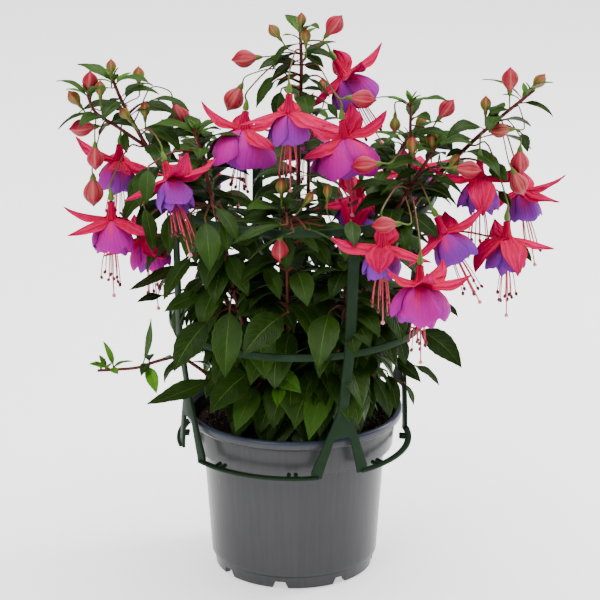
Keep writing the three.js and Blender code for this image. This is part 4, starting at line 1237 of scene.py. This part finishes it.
def make_calyx(bloom, number, finish):
    """The tube and four sepals."""
    forms = Forms("along", "across", "under")
    long, top, neck = TUBE.long, TUBE.top, TUBE.neck
    profile = [(-long, 0), (-long, 0.8 * top), (0.6 - long, top), (-0.72 * long, 1.02 * top),
               (-0.45 * long, 1.2 * top), (-0.2 * long, 0.8 * neck), (-0.05 * long, neck), (0.3, 1.02 * neck),
               (0.9, 0.7 * neck), (1, 0)]
    points, faces, _, rib = round_form([0, 0, 0], [0, 0, -1], profile, 20, 4, 0.07)
    forms.add(hung(points, bloom), faces, across=rib * 0.4)
    for k, (azimuth, bend, *share) in enumerate(table(bloom.sepals)):
        grid, up = sepal_grid(azimuth, bend, number * 10 + k, *share)
        forms.add_blade(grid, SEPAL.thick, up, SEPAL_ROWS, SEPAL_COLS, bloom)
    return forms.piece(f"bloom_{bloom.name}_sepals", finish, 60)


PETAL_ROWS, PETAL_COLS = np.linspace(0, 1, 15), np.linspace(-1, 1, 15)
PETAL_RADIUS = numbers("0 .08 .2 .4 .62 .8 .95 1"), numbers(".17 .4 .64 .87 .99 1.01 .95 .91")
PETAL_SPAN = numbers("0 .2 .5 .8 1"), numbers(".8 .84 .96 1.02 .98")


def petal_grid(wide, high, middle, half_angle, seed, rough):
    """One rounded petal of the skirt: broad at its hem, lifted along one edge and folded lengthwise."""
    a = PETAL_COLS[None, :]
    s = PETAL_ROWS[:, None] * (1 - 0.4 * np.abs(a) ** 2.3)
    flare = (draw(seed, 5) - 0.35) * 0.3
    fold = np.cos(a * (3.1 + 1.6 * draw(seed, 1)) + TAU * draw(seed, 2))
    hem = np.sin(a * (3.6 + 2.4 * draw(seed, 3)) + TAU * draw(seed, 4))
    radius = wide * np.interp(s, *PETAL_RADIUS) * (1 + 0.16 * a * s) * (1 + rough * 0.075 * fold * s ** 1.2)
    radius += wide * (rough * 0.05 * hem * s ** 4 + flare * s ** 3 - 0.07 * np.abs(a) ** 6 * s * (a < 0))
    angle = middle + a * half_angle * np.interp(s, *PETAL_SPAN)
    drop = high * s * (1 - 0.25 * max(flare, 0)) + 1.1 * rough * hem * s ** 4
    drop += 2.0 * (draw(seed, 6) - 0.5) * s
    return np.stack([radius * np.cos(angle), radius * np.sin(angle), -drop - 0.3], -1)


# Each layer of four petals: how wide and how tall it is, half its angle, its start angle and its roughness.
PETAL_LAYERS = table("1.03 .98 .98 0 1; .8 1.03 .98 .79 1.4; .5 .96 1 .3 2")


def make_skirt(bloom, number, finish):
    """The corolla: four broad outer petals, four inner ones and a folded heart."""
    forms = Forms("along", "across", "tone")
    wide = COROLLA.radius * bloom.full * (1.06 if bloom.full > 1.15 else 0.94)
    high = COROLLA.tall * (0.52 + 0.4 * bloom.full)
    for layer, (broad, deep, half_angle, start, rough) in enumerate(PETAL_LAYERS):
        for k in range(4):
            seed = number * 60 + layer * 10 + k
            middle = start + number * 1.7 + TAU * k / 4 + 0.2 * (draw(seed, 9) - 0.5)
            grid = petal_grid(wide * broad, high * deep, middle, half_angle, seed, rough)
            # Each inner layer takes 0.12 more tone as painted shade inside the skirt, darker towards violet
            # and plum; the rest of the spread is random.
            tone = np.clip(bloom.tone + 0.12 * layer + 0.26 * (draw(seed, 7) - 0.5), 0, 1)
            facing = [math.cos(middle), math.sin(middle), 0]
            forms.add_blade(grid, PETAL_THICK, facing, PETAL_ROWS, PETAL_COLS, bloom, tone=tone)
    return forms.piece(f"bloom_{bloom.name}_petals", finish, 65)


Thread = namedtuple("Thread", "radii tones head sides ribs rib_depth")
FILAMENT = Thread([0.46, 0.4, 0.36, 0.33], [0.0, 0.1, 0.2, 0.3],
                  table("-.6 0; -.3 .45; .5 .85; 1.5 .9; 2.3 .55; 2.6 0"), 8, 2, 0.2)
STYLE = Thread([0.55, 0.5, 0.47, 0.45], [0.0, 0.12, 0.22, 0.4],
               table("-.6 0; -.2 .55; .7 1.15; 1.7 1.25; 2.3 .8; 2.5 0"), 12, 4, 0.12)
FILAMENTS = 8


def make_threads(bloom, number, finish, strand):
    """Eight filaments with their anthers, and the longer style with its pale tip."""
    high = COROLLA.tall * (0.6 + 0.4 * bloom.full)
    strands, heads = Strands(), Forms("tone")
    for k in range(FILAMENTS + 1):
        seed = number * 30 + k
        kind, out, reach, tone = STYLE, 1.0, 51.5, 0.55
        if k < FILAMENTS:
            kind, tone = FILAMENT, 0.85 + 0.15 * draw(seed, 8)
            out, reach = 3.2 + 4.6 * draw(seed, 2), 45 - 10 * draw(seed, 3)
        angle = k * TAU / FILAMENTS + 0.9 * draw(seed, 1)
        side = out * np.array([math.cos(angle), math.sin(angle), 0])
        steps = ((0.25, 0.45 * high), (0.5, 0.8 * high), (0.8, 0.72 * reach), (1, reach))
        line = hung([side * share - [0, 0, drop] for share, drop in steps], bloom)
        line[2] += [0.5 * (draw(seed, 4) - 0.5), 0.5 * (draw(seed, 5) - 0.5), 0]
        strands.chain(line, kind.radii, kind.tones)
        aim = unit(line[3] - line[2])
        if kind is FILAMENT:
            aim = unit(aim + np.array([draw(seed, 6) - 0.5, draw(seed, 7) - 0.5, 0]) * 1.1)
        points, faces, _, _ = round_form(line[3], aim, kind.head, kind.sides, kind.ribs, kind.rib_depth)
        heads.add(points, faces, tone=tone)
    name = f"bloom_{bloom.name}_threads"
    threads = strand.grow(name, strands.mesh("thread_lines"), finish, 60, Sides=6, Steps=4)
    return joined(name, threads, heads.piece("anthers", finish, 60))


# ---- assembly ----
strand, band, crumb = strand_growth(), band_growth(), crumb_growth()
finishes = {"shoot": shoot_skin(), "leaf": leaf_skin(), "bud": bud_skin()}
sepal, petal, thread = sepal_skin(), petal_skin(), thread_skin()
settled(make_pot(pot_plastic()), "pot")
settled(make_soil(peat(), crumb), "potting_soil")
settled(make_rack(rack_plastic(), band), "support_rack")
for number, stem in enumerate(STEMS):
    make_stem(stem, number, finishes, strand)
for number, bloom in enumerate(BLOOMS):
    node = "bloom_" + bloom.name
    settled(make_calyx(bloom, number, sepal), node + "_calyx")
    settled(make_skirt(bloom, number, petal), node + "_corolla")
    settled(make_threads(bloom, number, thread, strand), node + "_corolla")


# ---- camera, floor and light, in metres ----
CAMERA = {"lens": 173.8, "sensor_width": 36.0, "clip_end": 20.0}
CAMERA_TILT = math.radians(18.9)
CAMERA_AWAY, CAMERA_SHIFT, LOOKED_AT = 2.0, 0.0394, np.array([0.0041, 0, 0.15])
FLOOR = Sizes(half=6, drop=0.0004)
# Each lamp: its place, what it is aimed at, its width, height and power.
LAMPS = {"key": ((-1.1, -1.7, 1.7), (0, 0, 0.2), 1.0, 1.0, 26),
         "left_strip": ((-1.4, -0.4, 0.8), (0, 0, 0.15), 0.3, 1.4, 2),
         "right_strip": ((1.3, 0.5, 0.85), (0, 0, 0.12), 0.4, 1.4, 26),
         "top": ((0.0, 0.3, 2.4), (0, 0, 0), 2.6, 2.6, 130)}


def stood(name, data, place):
    """Stands a camera, lamp or mesh in the scene."""
    thing = bpy.data.objects.new(name, data)
    thing.location = place
    bpy.context.scene.collection.objects.link(thing)
    return thing


def studio():
    """The camera, a plain pale floor, an even sky and four soft lamps."""
    lens = bpy.data.cameras.new("camera")
    for key, value in CAMERA.items():
        setattr(lens, key, value)
    forward = np.array([0, math.cos(CAMERA_TILT), -math.sin(CAMERA_TILT)])
    above = np.array([0, math.sin(CAMERA_TILT), math.cos(CAMERA_TILT)])
    camera = stood("camera", lens, LOOKED_AT + CAMERA_SHIFT * above - CAMERA_AWAY * forward)
    camera.rotation_euler = (math.pi / 2 - CAMERA_TILT, 0, 0)
    bpy.context.scene.camera = camera
    half = FLOOR.half
    ground = bpy.data.meshes.new("floor")
    corners = [(-half, -half, 0), (half, -half, 0), (half, half, 0), (-half, half, 0)]
    ground.from_pydata(corners, [], [(0, 1, 2, 3)])
    pale = Finish("pale_floor", Base_Color=(0.92, 0.92, 0.92, 1), Roughness=0.9, Specular_IOR_Level=0.1,
                  Emission_Color=(1, 1, 1, 1), Emission_Strength=0.9)
    ground.materials.append(pale.material)
    floor = stood("floor", ground, (0, 0, -FLOOR.drop))
    world = bpy.data.worlds.new("studio")
    world.use_nodes = True
    sky = world.node_tree.nodes["Background"].inputs
    sky["Color"].default_value, sky["Strength"].default_value = (1, 1, 1, 1), 0.3
    bpy.context.scene.world = world
    for name, (place, aim, wide, tall, power) in LAMPS.items():
        lamp = bpy.data.lights.new(name, "AREA")
        lamp.shape, lamp.size, lamp.size_y, lamp.energy = "RECTANGLE", wide, tall, power
        box = stood(name, lamp, place)
        box.rotation_euler = (Vector(aim) - Vector(place)).to_track_quat("-Z", "Y").to_euler()
        box.visible_camera = False


studio()
